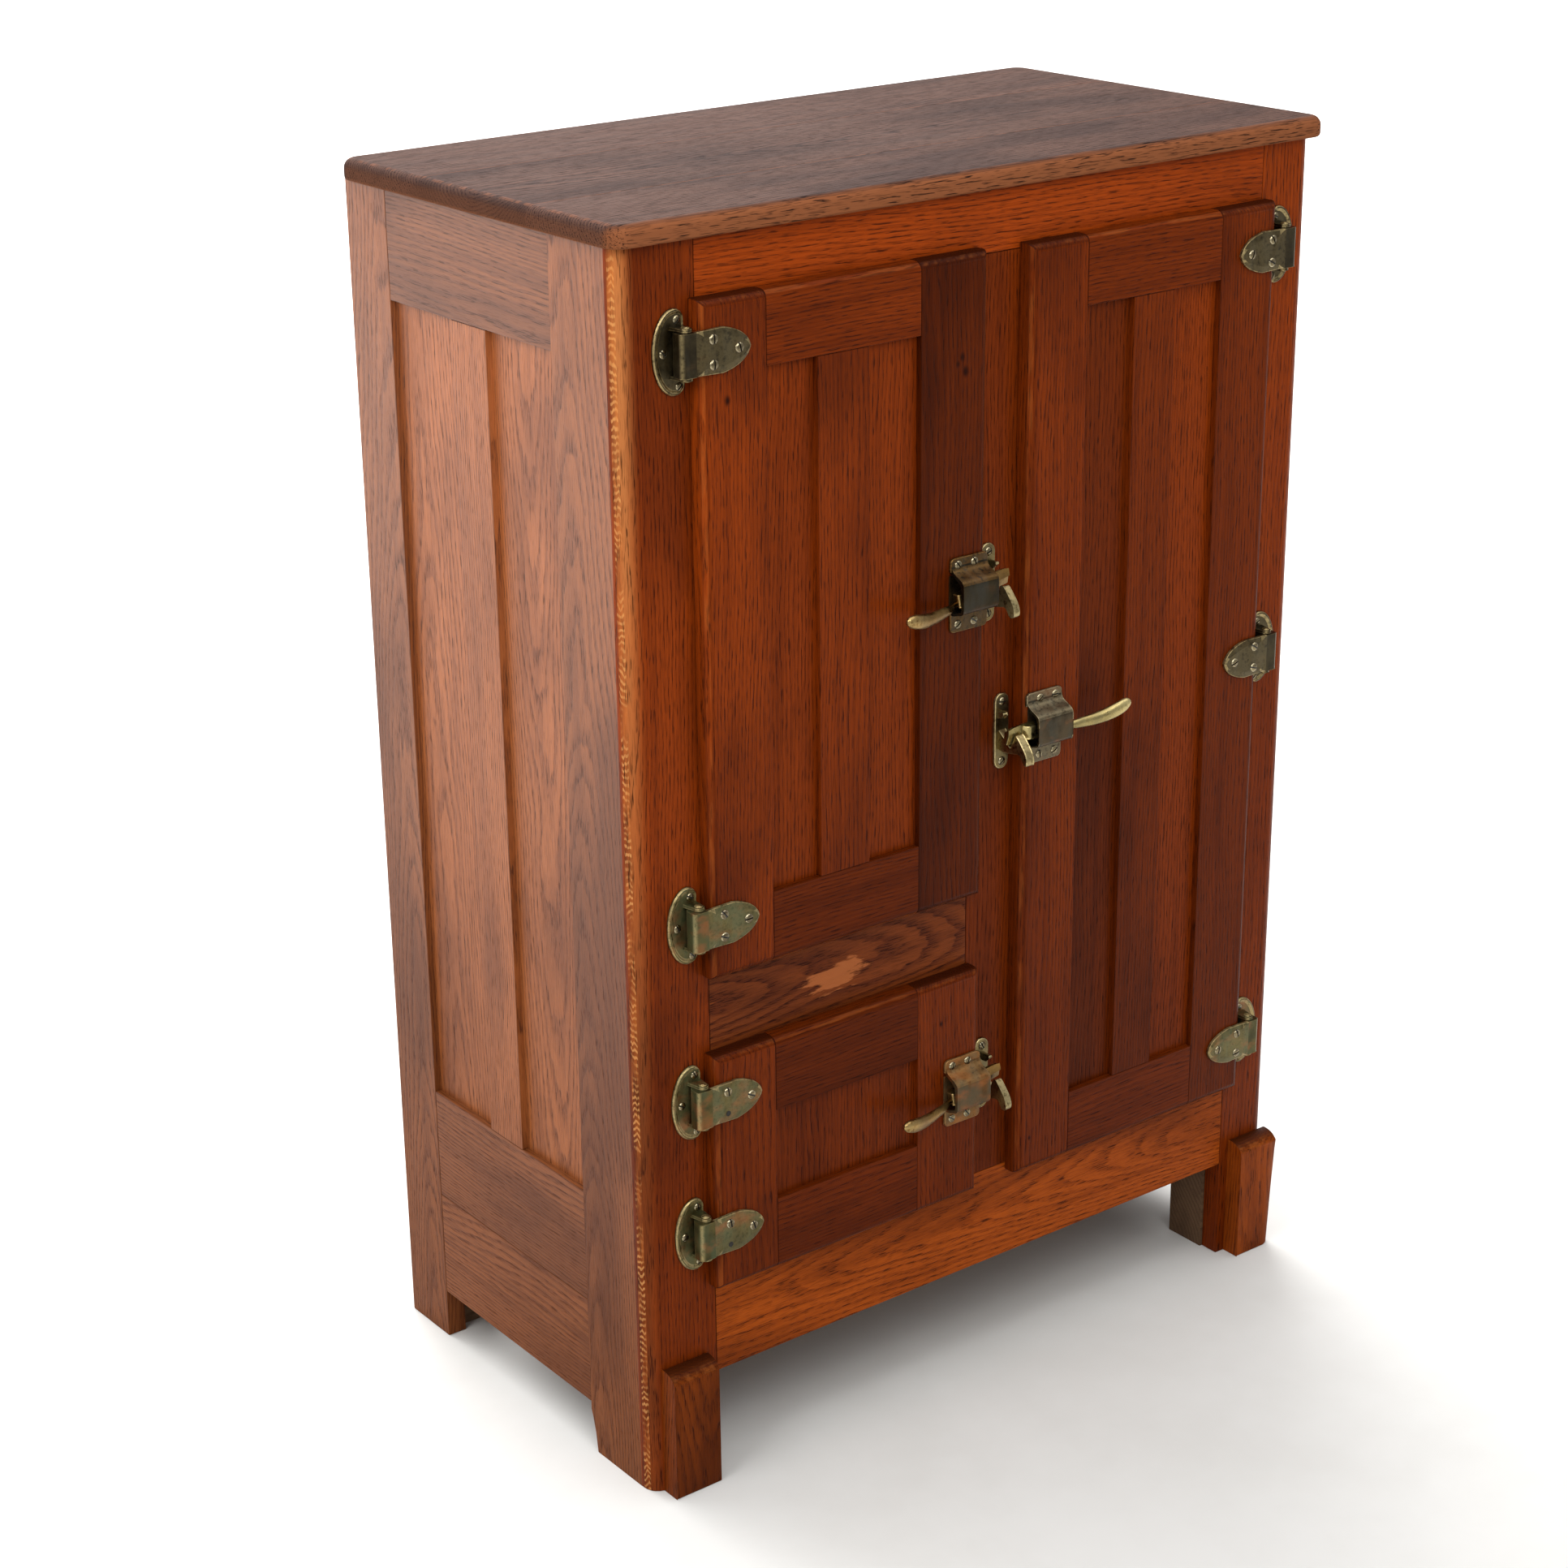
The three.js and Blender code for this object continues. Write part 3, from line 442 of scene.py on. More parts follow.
def prism(points, low, high, axis):
    """A closed outline carried along an axis. Its points are the two other coordinates, in order."""
    bm = bmesh.new()
    a, b = [i for i in range(3) if i != axis]

    def corner(point, level):
        co = [0.0, 0.0, 0.0]
        co[a], co[b], co[axis] = point[0], point[1], level
        return bm.verts.new(co)

    return skin(bm, [[corner(p, level) for p in points] for level in (low, high)])


def ease(bm, amount, segments=2, chosen=None, sharper=40.0):
    """Rounds the sharp edges, or only the chosen ones, and keeps the piece no lower than it was."""
    bm.normal_update()
    floor = min(v.co.z for v in bm.verts)
    edges = [
        e for e in bm.edges
        if e.is_manifold and math.degrees(e.calc_face_angle(0.0)) > sharper and (chosen is None or chosen(e))
    ]
    if edges:
        bmesh.ops.bevel(bm, geom=edges, offset=amount, segments=segments, profile=0.5, affect="EDGES")
    for v in bm.verts:
        v.co.z = max(v.co.z, floor)
    return bm


SAME_PLACE = 2e-5


def on(edge, **at):
    """True if both ends of an edge lie at the given coordinates."""
    return all(abs(v.co["xyz".index(k)] - value) < SAME_PLACE for v in edge.verts for k, value in at.items())


def arc(cx, cy, rx, ry, start, end, count):
    turns = [math.radians(start + (end - start) * i / count) for i in range(count + 1)]
    return [(cx + rx * math.cos(t), cy + ry * math.sin(t)) for t in turns]


# For each cut, how far a board's middle is from the pith, deep and aside, and how far it leans each way: the
# least, the most, and whether it may be on either side.
CUTS = {
    "flat": ((0.03, 0.06, False), (-0.02, 0.02, False), (0.03, 0.06, True), (-0.015, 0.015, False)),
    "quarter": ((-0.01, 0.01, False), (0.12, 0.2, True), (-0.01, 0.01, False), (-0.012, 0.012, False)),
    "rift": ((0.05, 0.09, False), (0.06, 0.12, True), (-0.02, 0.02, False), (-0.02, 0.02, False)),
}


def log(low, high, along, cut="rift"):
    """A board's place in its log: a function from a point to (along, across, across), the pith at 0, 0."""
    across = [i for i in range(3) if i != along]
    thin, wide = sorted(across, key=lambda i: high[i] - low[i])
    centre = [(low[i] + high[i]) / 2 for i in range(3)]
    deep, aside, lean_deep, lean_aside = [
        rng.uniform(least, most) * (rng.choice((-1, 1)) if either_side else 1)
        for least, most, either_side in CUTS[cut]
    ]
    start = rng.uniform(0.0, 9.0)

    def place(co):
        run = co[along] - centre[along]
        return (
            start + run,
            co[wide] - centre[wide] - aside - lean_aside * run,
            co[thin] - centre[thin] - deep - lean_deep * run,
        )

    return place


def plank(
    stock, low, high, along, cut="rift", tone=None, radius=0.0007, big=None, big_radius=0.0,
    fleck=None, worn=joint_dirt,
):
    """A board whose grain runs along an axis, with all its edges eased and its big ones rounded."""
    bm = box_mesh(low, high)
    if big:
        ease(bm, big_radius, 6, big)
    ease(bm, radius, 2, None, 50.0)
    grain = log(low, high, along, cut)
    stock.add(bm, grain, rng.uniform(0.3, 0.75) if tone is None else tone, None, along, worn, fleck)


def local(stock, bm, place, seed, worn=0.0):
    """Adds a metal part drawn in millimetres about its own centre. worn may be one number for all of it."""
    shift = (seed * 0.37, seed * 0.21, seed * 0.11)

    def grain(co):
        return tuple(co[i] * MM + shift[i] for i in range(3))

    stock.add(bm, grain, 0.5, place, None, worn if callable(worn) else lambda face: worn)


def relief(outline, levels, soft=None):
    """A plate in x, z with its back on y = 0: each level is (inset, height towards -y)."""
    bm = bmesh.new()
    count = len(outline)
    middle = [sum(p[i] for p in outline) / count for i in range(2)]
    inward = []
    for i, p in enumerate(outline):
        before, after = outline[i - 1], outline[(i + 1) % count]
        dx, dz = after[0] - before[0], after[1] - before[1]
        size = math.hypot(dx, dz) or 1.0
        n = (-dz / size, dx / size)
        if n[0] * (middle[0] - p[0]) + n[1] * (middle[1] - p[1]) < 0:
            n = (-n[0], -n[1])
        inward.append(n)
    rings = []
    for inset, height in levels:
        ring = []
        for p, n in zip(outline, inward):
            by = inset * (soft(p) if soft else 1.0)
            ring.append(bm.verts.new((p[0] + n[0] * by, -height, p[1] + n[1] * by)))
        rings.append(ring)
    return skin(bm, rings)


def lathe(profile, sides):
    """A turned solid about z, from (radius, height) points. A radius of 0 closes it."""
    bm = bmesh.new()
    rings = []
    for radius, height in profile:
        if radius == 0:
            rings.append([bm.verts.new((0, 0, height))])
            continue
        turn = [2 * math.pi * i / sides for i in range(sides)]
        rings.append([bm.verts.new((radius * math.cos(t), radius * math.sin(t), height)) for t in turn])
    return skin(bm, rings)


def catmull(points, steps):
    """Points on a smooth curve through the given ones."""
    ends = [points[0], *points, points[-1]]
    out = []
    for a, b, c, d in zip(ends, ends[1:], ends[2:], ends[3:]):
        for i in range(steps):
            t = i / steps
            out.append(tuple(
                0.5 * (
                    2 * q + (r - p) * t
                    + (2 * p - 5 * q + 4 * r - s) * t * t + (3 * q - p - 3 * r + s) * t ** 3
                )
                for p, q, r, s in zip(a, b, c, d)
            ))
    return out + [points[-1]]


def loft(stations, sides=20, steps=5):
    """A bar whose stations are (x, y, z, half width in y, half height in z)."""
    bm = bmesh.new()
    path = catmull(stations, steps)
    rings = []
    for i, station in enumerate(path):
        here = Vector(station[:3])
        ahead = Vector(path[min(i + 1, len(path) - 1)][:3]) - Vector(path[max(i - 1, 0)][:3])
        ahead.normalize()
        side = ahead.cross(Vector((0, 0, 1))).normalized()
        up = side.cross(ahead)
        wide, tall = max(station[3], 0.05), max(station[4], 0.05)
        turn = [2 * math.pi * k / sides for k in range(sides)]
        rings.append([bm.verts.new(here + side * wide * math.cos(t) + up * tall * math.sin(t)) for t in turn])
    return skin(bm, rings)


FACING = Matrix.Rotation(math.radians(90), 4, "X")  # turns a part's +z to -y


def at(x, y, z, mirror=1.0):
    """Millimetres about a point of the row frame, mirrored left to right where mirror is -1."""
    return Matrix.Translation((x, y, z)) @ Matrix.Diagonal((mirror * MM, MM, MM, 1.0))


def object_of(name, bm):
    mesh = bpy.data.meshes.new(name)
    bm.to_mesh(mesh)
    bm.free()
    return placed(name, mesh)


def screw_shape(radius, height):
    """A screw's head: a shallow dome with a cut slot, standing on z = 0."""
    dome = lathe(
        [(radius * 1.0, -0.6), (radius, 0.05), (radius * 0.95, height * 0.36), (radius * 0.76, height * 0.72),
         (radius * 0.45, height * 0.94), (0, height)], 28,
    )
    slot = box_mesh((-radius * 1.2, -radius * 0.17, height * 0.12), (radius * 1.2, radius * 0.17, height * 2))
    head, blade = object_of("screw_shape", dome), object_of("slot_shape", slot)
    cut = head.modifiers.new("cut", "BOOLEAN")
    cut.operation, cut.object, cut.solver = "DIFFERENCE", blade, "EXACT"
    bpy.context.view_layer.update()
    done = bmesh.new()
    done.from_object(head, bpy.context.evaluated_depsgraph_get())
    for mesh in (head.data, blade.data):
        bpy.data.meshes.remove(mesh)
    return done


SCREW_RADIUS = 4.5
SCREW = screw_shape(SCREW_RADIUS, 1.9)


def screw_highlight_and_dirt(face):
    """A bright ring round the dome's slope: a painted highlight. Dull on the crown and round the rim, and
    dirty in the slot.
    """
    middle = face.calc_center_median()
    if abs(middle.y) < SCREW_RADIUS * 0.19 and (abs(face.normal.y) > 0.9 or middle.z < 0.5):
        return -1.0
    # Painted highlight: the sloping ring of the dome is brightened.
    return 0.9 if 0.3 < face.normal.z < 0.93 else 0.1


def screw(stock, place, x, y, z, seed, size=1.0):
    """One screw head whose dome stands out towards -y, turned by a random angle."""
    turned = Matrix.Rotation(rng.uniform(0, math.pi), 4, "Z")
    stand = Matrix.Translation((x, y, z)) @ FACING @ Matrix.Scale(size, 4) @ turned
    local(stock, SCREW.copy(), place @ stand, seed, screw_highlight_and_dirt)


# ---------------------------------------------------------------- case

TONGUE = 5.7 * MM  # how far a panel's edge is hidden by its frame
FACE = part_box("center_front_stile")[0].y  # the front plane of the case
CORNER = 16 * MM


def box_of(node):
    low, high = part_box(node)
    return list(low), list(high)


def front_stile(node, outer, cut, tone):
    """A front corner post, rounded on its outer edge. The left one shows ray fleck on the rounding."""
    low, high = box_of(node)
    edge_x = low[X] if outer < 0 else high[X]
    centre = (edge_x - outer * CORNER, low[Y] + CORNER)

    def turn(co):
        away = Vector((co.x - centre[0], co.y - centre[1]))
        if away.x * outer <= 0 or away.y >= 0:
            return 0.0
        return math.degrees(math.atan2(abs(away.x), -away.y))

    def fleck(co, face):
        return max(0.0, 1.0 - abs(turn(co) - 52.0) / 44.0) * (1.0 if outer < 0 else 0.25)

    def worn(face):
        return 1.0 if outer < 0 and 60.0 < turn(face.calc_center_median()) < 86.0 else 0.0

    stock = Stock()
    plank(stock, low, high, Z, cut, tone, 0.0007, lambda e: on(e, x=edge_x, y=low[Y]), CORNER, fleck, worn)
    stock.piece(node + "_board", FRONT, "case", "front_oak", node)


front_stile("left_front_stile", -1, "rift", 0.6)
front_stile("right_front_stile", 1, "rift", 0.55)
for node, along, cut, tone, material in (
    ("center_front_stile", Z, "rift", -0.1, FRONT),
    ("front_top_rail", X, "rift", 1.1, FRONT),
    ("front_mid_rail", X, "flat", 0.7, MID),
    ("front_bottom_rail", X, "flat", 1.5, LOW),
):
    stock = Stock()
    plank(stock, *box_of(node), along, cut, tone)
    stock.piece(node + "_board", material, "case", "front_oak", node)


def side(name):
    """One side of the case as separate boards round two panels."""
    low, high = box_of(name + "_side_frame")
    window_low, window_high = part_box(name + "_side_panel")
    window = (window_low.y + TONGUE, window_high.y - TONGUE)
    window_z = (window_low.z + TONGUE, window_high.z - TONGUE)
    seam, apron, foot = 163.8 * MM, 51.8 * MM, 9 * MM
    muntin = (FACE + 204.9 * MM, FACE + 260.9 * MM)
    taper_top = 44 * MM
    x = (low[X], high[X])
    stock = Stock()
    taper = ((1.0, 0.0), (0.72, 0.45), (0.25, 0.85), (0.0, 1.0))  # shares of the foot's width and height
    stile = [(low[Y], 0.0), *((window[0] - foot * out, taper_top * up) for out, up in taper)]
    stile += [(window[0], high[Z]), (low[Y], high[Z])]
    bm = ease(prism(stile, *x, X), 0.0009, 2, None, 45.0)
    stock.add(bm, log((x[0], low[Y], 0), (x[1], window[0], high[Z]), Z, "flat"), 0.12, None, Z)
    plank(stock, (x[0], window[1], 0), (x[1], high[Y], high[Z]), Z, "flat", 0.1, 0.0009)
    for span, tone in (((window_z[1], high[Z]), -0.25), ((seam, window_z[0]), 0.05), ((apron, seam), 0.2)):
        plank(stock, (x[0], window[0], span[0]), (x[1], window[1], span[1]), Y, "rift", tone, 0.0011)
    plank(stock, (x[0], muntin[0], window_z[0]), (x[1], muntin[1], window_z[1]), Z, "quarter", 0.75, 0.0009)
    stock.piece(name + "_side_boards", SIDE, "case", "side_oak", name + "_side_frame")
    panels = Stock()
    for a, b, tone in ((window_low.y, muntin[0] + TONGUE, 0.75), (muntin[1] - TONGUE, window_high.y, 0.85)):
        plank(panels, (window_low.x, a, window_low.z), (window_high.x, b, window_high.z), Z, "flat", tone)
    panels.piece(name + "_side_panels", SIDE, "case", "side_oak", name + "_side_panel")


side("left")
side("right")


def top():
    """The top: boards glued edge to edge, with a rounded rim."""
    low, high = box_of("top_board")
    bm = box_mesh(low, high)
    ease(bm, 18 * MM, 8, lambda e: abs(e.verts[0].co.z - e.verts[1].co.z) > 0.01)
    ease(bm, 9 * MM, 6, lambda e: all(v.co.z > high[Z] - 1e-5 for v in e.verts))
    ease(bm, 3 * MM, 3, lambda e: all(v.co.z < low[Z] + 1e-5 for v in e.verts))
    seams = [low[Y] + 128 * MM, low[Y] + 300 * MM]
    for seam in seams:
        for shift in (-0.5 * MM, 0.0, 0.5 * MM):
            everything = bm.verts[:] + bm.edges[:] + bm.faces[:]
            middle = (0, seam + shift, 0)
            bmesh.ops.bisect_plane(bm, geom=everything, dist=1e-7, plane_co=middle, plane_no=(0, 1, 0))
        for v in bm.verts:
            if abs(v.co.y - seam) < 1e-6 and v.co.z > high[Z] - 0.5 * MM:
                v.co.z -= 0.35 * MM
    bounds = [low[Y], *seams, high[Y]]
    logs = [
        log((low[X], a, low[Z]), (high[X], b, high[Z]), X, cut)
        for a, b, cut in zip(bounds, bounds[1:], ("rift", "flat", "rift"))
    ]

    def worn(face):
        return 1.0 if 0.9 < face.normal.z < 0.996 and abs(face.normal.x) ** 4 < 0.1 else 0.0

    def rim(co, face):
        return clamp((0.3 - face.normal.y - face.normal.z * 0.6) * 1.4)

    def end_grain(face):
        return abs(face.normal.x) ** 4 * 0.4

    whole = Stock()
    for i, (a, b) in enumerate(zip(bounds, bounds[1:])):
        part = bm.copy()
        outside = [f for f in part.faces if not a - 1e-6 < f.calc_center_median().y < b + 1e-6]
        bmesh.ops.delete(part, geom=outside, context="FACES")
        whole.add(part, logs[i], (0.5, 0.42, 0.6)[i], None, X, worn, rim, end_grain)
    bm.free()
    whole.piece("top_boards", TOP, "case", "top_oak", "top_board")


top()


def foot_block(name, outer):
    """A block on the front of a foot, with a rounded shoulder and a rounded outer edge."""
    low, high = box_of(name)
    depth, shoulder, rise = high[Y] - low[Y], 2 * MM, 11 * MM
    outline = [(high[Y], 0.0), (low[Y], 0.0), (low[Y], high[Z] - rise)]
    outline += arc(high[Y] - shoulder, high[Z] - rise, depth - shoulder, rise, 180, 90, 7)[1:]
    outline += [(high[Y], high[Z])]
    bm = prism(outline, low[X], high[X], X)
    edge_x = low[X] if outer < 0 else high[X]
    ease(bm, 14 * MM, 6, lambda e: on(e, x=edge_x, y=low[Y]))
    ease(bm, 0.0009, 2, None, 50.0)
    stock = Stock()
    stock.add(bm, log(low, high, Z, "flat"), -0.1 if outer < 0 else 0.75, None, Z)
    stock.piece(name + "_wood", LOW, "case", "front_oak", name)


foot_block("left_foot_block", -1)
foot_block("right_foot_block", 1)


def back():
    """The back: upright boards with eased edges."""
    low, high = box_of("back_panel")
    boards = 5
    width = (high[X] - low[X]) / boards
    stock = Stock()
    for i in range(boards):
        ends = (low[X] + i * width, low[Y], low[Z]), (low[X] + (i + 1) * width, high[Y], high[Z])
        plank(stock, *ends, Z, "flat", rng.uniform(0.2, 0.8), 2.5 * MM)
    stock.piece("back_boards", RAW, "case", "raw_wood", "back_panel")


back()


def ice_rack():
    low, high = box_of("ice_rack")
    slats, slat, runner = 7, 26 * MM, 18 * MM
    pitch = (high[Y] - low[Y] - slat) / (slats - 1)
    stock = Stock()
    for middle in (low[X] + 30 * MM, (low[X] + high[X]) / 2, high[X] - 30 * MM):
        x = (middle - runner / 2, middle + runner / 2)
        plank(stock, (x[0], low[Y], low[Z]), (x[1], high[Y], high[Z] - 11.5 * MM), Y, "rift", 0.4, 0.001)
    for i in range(slats):
        y = low[Y] + i * pitch
        plank(stock, (low[X], y, high[Z] - 12 * MM), (high[X], y + slat, high[Z]), X, "rift", None, 0.0018)
    stock.piece("ice_rack_slats", RAW, "case", "raw_wood", "ice_rack")


ice_rack()


def rod(stock, start, end, radius):
    run = Vector(end) - Vector(start)
    long, tip = run.length, radius * 0.35
    half = [(0, 0), (radius - tip, 0), (radius, tip)]
    bm = lathe(half + [(r, long - z) for r, z in reversed(half)], 12)
    place = Matrix.Translation(start) @ run.to_track_quat("Z", "Y").to_matrix().to_4x4()
    stock.add(bm, lambda co: tuple(co), 0.5, place, None, lambda face: 0.0)


def shelf(node):
    low, high = box_of(node)
    radius, bars, rods = 2.5 * MM, 3, 10
    stock = Stock()
    inner = (low[Y] + radius, high[Y] - radius)
    for i in range(bars):
        y = inner[0] + (inner[1] - inner[0]) * i / (bars - 1)
        rod(stock, (low[X], y, low[Z] + radius), (high[X], y, low[Z] + radius), radius)
    span = (low[X] + radius + MM, high[X] - radius - MM)
    for i in range(rods):
        x = span[0] + (span[1] - span[0]) * i / (rods - 1)
        rod(stock, (x, low[Y], high[Z] - radius), (x, high[Y], high[Z] - radius), radius)
    stock.piece(node + "_wires", ZINC, "case", "zinc", node)


for index in (1, 2, 3):
    shelf(f"food_shelf_{index}")

# ---------------------------------------------------------------- doors

# Widths in millimetres: the left and right stiles, the top and bottom rails, and where the muntin starts and
# ends. The tones are of the stiles, the rails, the muntin and the panels.
DOORS = {
    "ice_door": {
        "side": -1, "stiles": (67.5, 77.5), "rails": (64.5, 69.5), "muntin": (121.5, 177.5),
        "tones": ((0.4, -0.7), (0.0, -0.45), 0.2, (0.25, 0.2)),
    },
    "lower_door": {
        "side": -1, "stiles": (67.5, 76.5), "rails": (72.5, 74.0), "muntin": None,
        "tones": ((0.1, 0.15), (-0.45, -0.05), None, (0.15,)),
    },
    "food_door": {
        "side": 1, "stiles": (67.5, 72.0), "rails": (64.5, 70.0), "muntin": (125.5, 176.5),
        "tones": ((0.05, -0.2), (-0.3, -0.1), -0.2, (-0.4, 0.3)),
    },
}
LIP_EDGE, STILE_EASE, RAIL_EASE = 8.5 * MM, 0.9 * MM, 0.8 * MM


def door(name):
    """A door's stiles, rails and muntin as separate boards, and its panels."""
    low, high = box_of(name + "_frame")
    panel_low, panel_high = box_of(name + "_panel")
    spec = DOORS[name]
    stile_tones, rail_tones, muntin_tone, panel_tones = spec["tones"]
    left, right = low[X] + spec["stiles"][0] * MM, high[X] - spec["stiles"][1] * MM
    top_rail, bottom_rail = high[Z] - spec["rails"][0] * MM, low[Z] + spec["rails"][1] * MM
    y = (low[Y], high[Y])
    stock = Stock()

    def rubbed(face):
        """The broad rounding round the door is rubbed, and its small eased edges are dirty."""
        off = off_axis(face.normal)
        return 0.5 * off if face.calc_area() > 4e-5 and off > 0.5 else -off

    def outer(edge_x):
        def chosen(e):
            return on(e, y=low[Y]) and (on(e, x=edge_x) or on(e, z=low[Z]) or on(e, z=high[Z]))
        return chosen

    def board(x, z, along, tone, radius, lip):
        ends = (x[0], y[0], z[0]), (x[1], y[1], z[1])
        plank(stock, *ends, along, "rift", tone, radius, lip, LIP_EDGE, None, rubbed)

    board((low[X], left), (low[Z], high[Z]), Z, stile_tones[0], STILE_EASE, outer(low[X]))
    board((right, high[X]), (low[Z], high[Z]), Z, stile_tones[1], STILE_EASE, outer(high[X]))
    rails = (top_rail, high[Z], high[Z]), (low[Z], bottom_rail, low[Z])
    for (z_low, z_high, rim), tone in zip(rails, rail_tones):
        board((left, right), (z_low, z_high), X, tone, RAIL_EASE, lambda e: on(e, y=low[Y], z=rim))
    spans = [(panel_low[X], panel_high[X])]
    if spec["muntin"]:
        muntin = [low[X] + m * MM for m in spec["muntin"]]
        ends = (muntin[0], y[0], bottom_rail), (muntin[1], y[1] - 5 * MM, top_rail)
        plank(stock, *ends, Z, "rift", muntin_tone, RAIL_EASE)
        spans = [(panel_low[X], muntin[0] + TONGUE), (muntin[1] - TONGUE, panel_high[X])]
    stock.piece(name + "_boards", FRONT, name, "front_oak", name + "_frame")
    panels = Stock()
    for (a, b), tone in zip(spans, panel_tones):
        plank(panels, (a, panel_low[Y], panel_low[Z]), (b, panel_high[Y], panel_high[Z]), Z, "rift", tone)
    panels.piece(name + "_panels", FRONT, name, "front_oak", name + "_panel")


for name in DOORS:
    door(name)

# ---------------------------------------------------------------- hinges

PIN = 14.5  # millimetres from the face frame to the pins
LEAF_EDGE, LEAF_OUTER, LEAF_HALF, LEAF_CORNER = 6.0, -25.0, 36.7, 9.0
STRAP_BACK, STRAP_FRONT, STRAP_WALL, STRAP_TIP, ROOT_HALF = -18.3, -22.3, -10.0, 62.0, 18.7
STRAP_ROOT = 4.7
HINGE_LOOKS = {
    "ice_door_upper": DARK_BRASS, "ice_door_lower": GREEN_BRASS, "lower_door_upper": GREEN_BRASS,
    "lower_door_lower": GREEN_BRASS, "food_door_upper": DARK_BRASS, "food_door_middle": DARK_BRASS,
    "food_door_lower": GREEN_BRASS,
}
LOST_SCREWS = ("lower_door_upper", "lower_door_lower")


def leaf_outline():
    centre = LEAF_EDGE - LEAF_CORNER
    reach = centre - LEAF_OUTER
    straight = LEAF_HALF - LEAF_CORNER
    points = [(LEAF_EDGE, -straight + i * 2 * straight / 14) for i in range(14)]
    points += arc(centre, straight, LEAF_CORNER, LEAF_CORNER, 0, 90, 8)
    points += arc(centre, 0, reach, LEAF_HALF, 90, 270, 44)[1:-1]
    points += arc(centre, -straight, LEAF_CORNER, LEAF_CORNER, -90, 0, 8)[:-1]
    return points


def leaf_softness(point):
    """The rim is broad on the curved side and narrow beside the door."""
    return 0.3 + 0.7 * clamp((LEAF_EDGE - point[0]) / 9.0)


def frame_leaf(stock, screws, place, seed):
    """The half-moon plate on the case, with its two ears and the pin."""
    rim = [(0, 0.3), (0, 1.5), (0.35, 2.5), (1.2, 3.3), (2.3, 3.5), (3.3, 3.2), (4.3, 2.5), (5.2, 2.2)]
    plate = relief(leaf_outline(), rim, leaf_softness)
    local(stock, plate, place, seed, lambda face: 0.9 if -0.97 < face.normal.y < 0 else 0.1)
    ear = [(-8.0, -2.0), (-5.2, -PIN), *arc(0, -PIN, 5.2, 5.2, 180, 360, 16)[1:], (LEAF_EDGE, -2.0)]
    for sign in (1, -1):
        span = sorted((sign * 19.2, sign * 21.9))
        local(stock, ease(prism(ear, *span, Z), 0.5, 2), place, seed, edge_wear(1.0))
        head = lathe([(3.9, 0), (3.9, 0.5), (3.4, 1.0), (2.6, 1.0), (2.5, 0.7), (1.9, 1.25), (0, 1.4)], 20)
        stand = Matrix.Translation((0, -PIN, sign * 21.9)) @ Matrix.Diagonal((1, 1, sign, 1))
        local(stock, head, place @ stand, seed, 0.8)
    local(stock, lathe([(2.5, -21.0), (2.5, 21.0)], 16), place @ Matrix.Translation((0, -PIN, 0)), seed, 0.2)
    for x, z in ((0.0, 27.0), (-14.5, 0.0), (1.2, -29.5)):
        screw(screws, place, x, -2.2, z, seed, 0.86)


def strap_outline():
    def curve(a, b, c, count):
        for i in range(count):
            t = i / count
            yield tuple((1 - t) ** 2 * p + 2 * t * (1 - t) * q + t * t * r for p, q, r in zip(a, b, c))

    lower = [(STRAP_ROOT + i * (33.0 - STRAP_ROOT) / 7, -ROOT_HALF - 0.8 * i / 7) for i in range(7)]
    lower += list(curve((33.0, -19.5), (56.5, -15.2), (STRAP_TIP - 0.5, -1.6), 18))
    upper = [(x, -z) for x, z in reversed(lower)]
    root = [(STRAP_ROOT, -ROOT_HALF + i * 2 * ROOT_HALF / 6) for i in range(5, 0, -1)]
    return lower + [(STRAP_TIP, 0.0)] + upper + root


def strap_softness(point):
    """The bevel is broad along both sides, and narrow at the knuckle and at the tip."""
    return clamp((point[0] - 6.0) / 9.0, 0.06) * clamp((STRAP_TIP + 5.0 - point[0]) / 18.0, 0.3)


def strap(stock, screws, hole, place, seed):
    """The strap on the door, with its knuckle. Where there is a hole to fill, its lower screw is lost."""
    thick = STRAP_BACK - STRAP_FRONT
    bevel = [(0, thick - 1.9), (0.25, thick - 1.4), (0.8, thick - 1.15), (5.6, thick - 0.2), (6.6, thick)]
    plate = relief(strap_outline(), [(0, 0), *bevel], strap_softness)
    lift = place @ Matrix.Translation((0, STRAP_BACK, 0))
    local(stock, plate, lift, seed, lambda face: 0.75 if abs(face.normal.y) < 0.93 else 0.15)
    sweep, corner, end = 10.6, 4.6, 5.2
    side_y = math.sqrt(sweep**2 - STRAP_WALL**2)
    turn = math.degrees(math.acos(end / sweep)), 180 - math.degrees(math.atan2(side_y, -STRAP_WALL))
    back = arc(0, -PIN, sweep, sweep, *turn, 14)
    front = arc(STRAP_WALL + corner, STRAP_FRONT + corner, corner, corner, 180, 270, 8)
    knuckle = ease(prism([(end, STRAP_FRONT), *back, *front], -ROOT_HALF, ROOT_HALF, Z), 0.6, 2,
                   lambda e: not all(v.co.x > end - 0.01 for v in e.verts), 60.0)
    local(stock, knuckle, place, seed, edge_wear(0.5))
    for x, z in ((22.5, 10.7), (22.5, -10.7), (49.0, 0.0)):
        if hole and z < 0:
            # The lost screw's hole is a flat dark disc on the strap: painted shade, where there is no hole.
            pit = lathe([(0, 0), (1.9, 0), (2.6, 0.25), (1.9, 0.3), (0, 0.05)], 16)
            local(hole, pit, place @ Matrix.Translation((x, STRAP_FRONT, z)) @ FACING, seed)
        else:
            screw(screws, place, x, STRAP_FRONT + 0.15, z, seed)


def pivot_of(body):
    return next(j for j in frame["joints"] if j["child"] == body)["pos_m"]


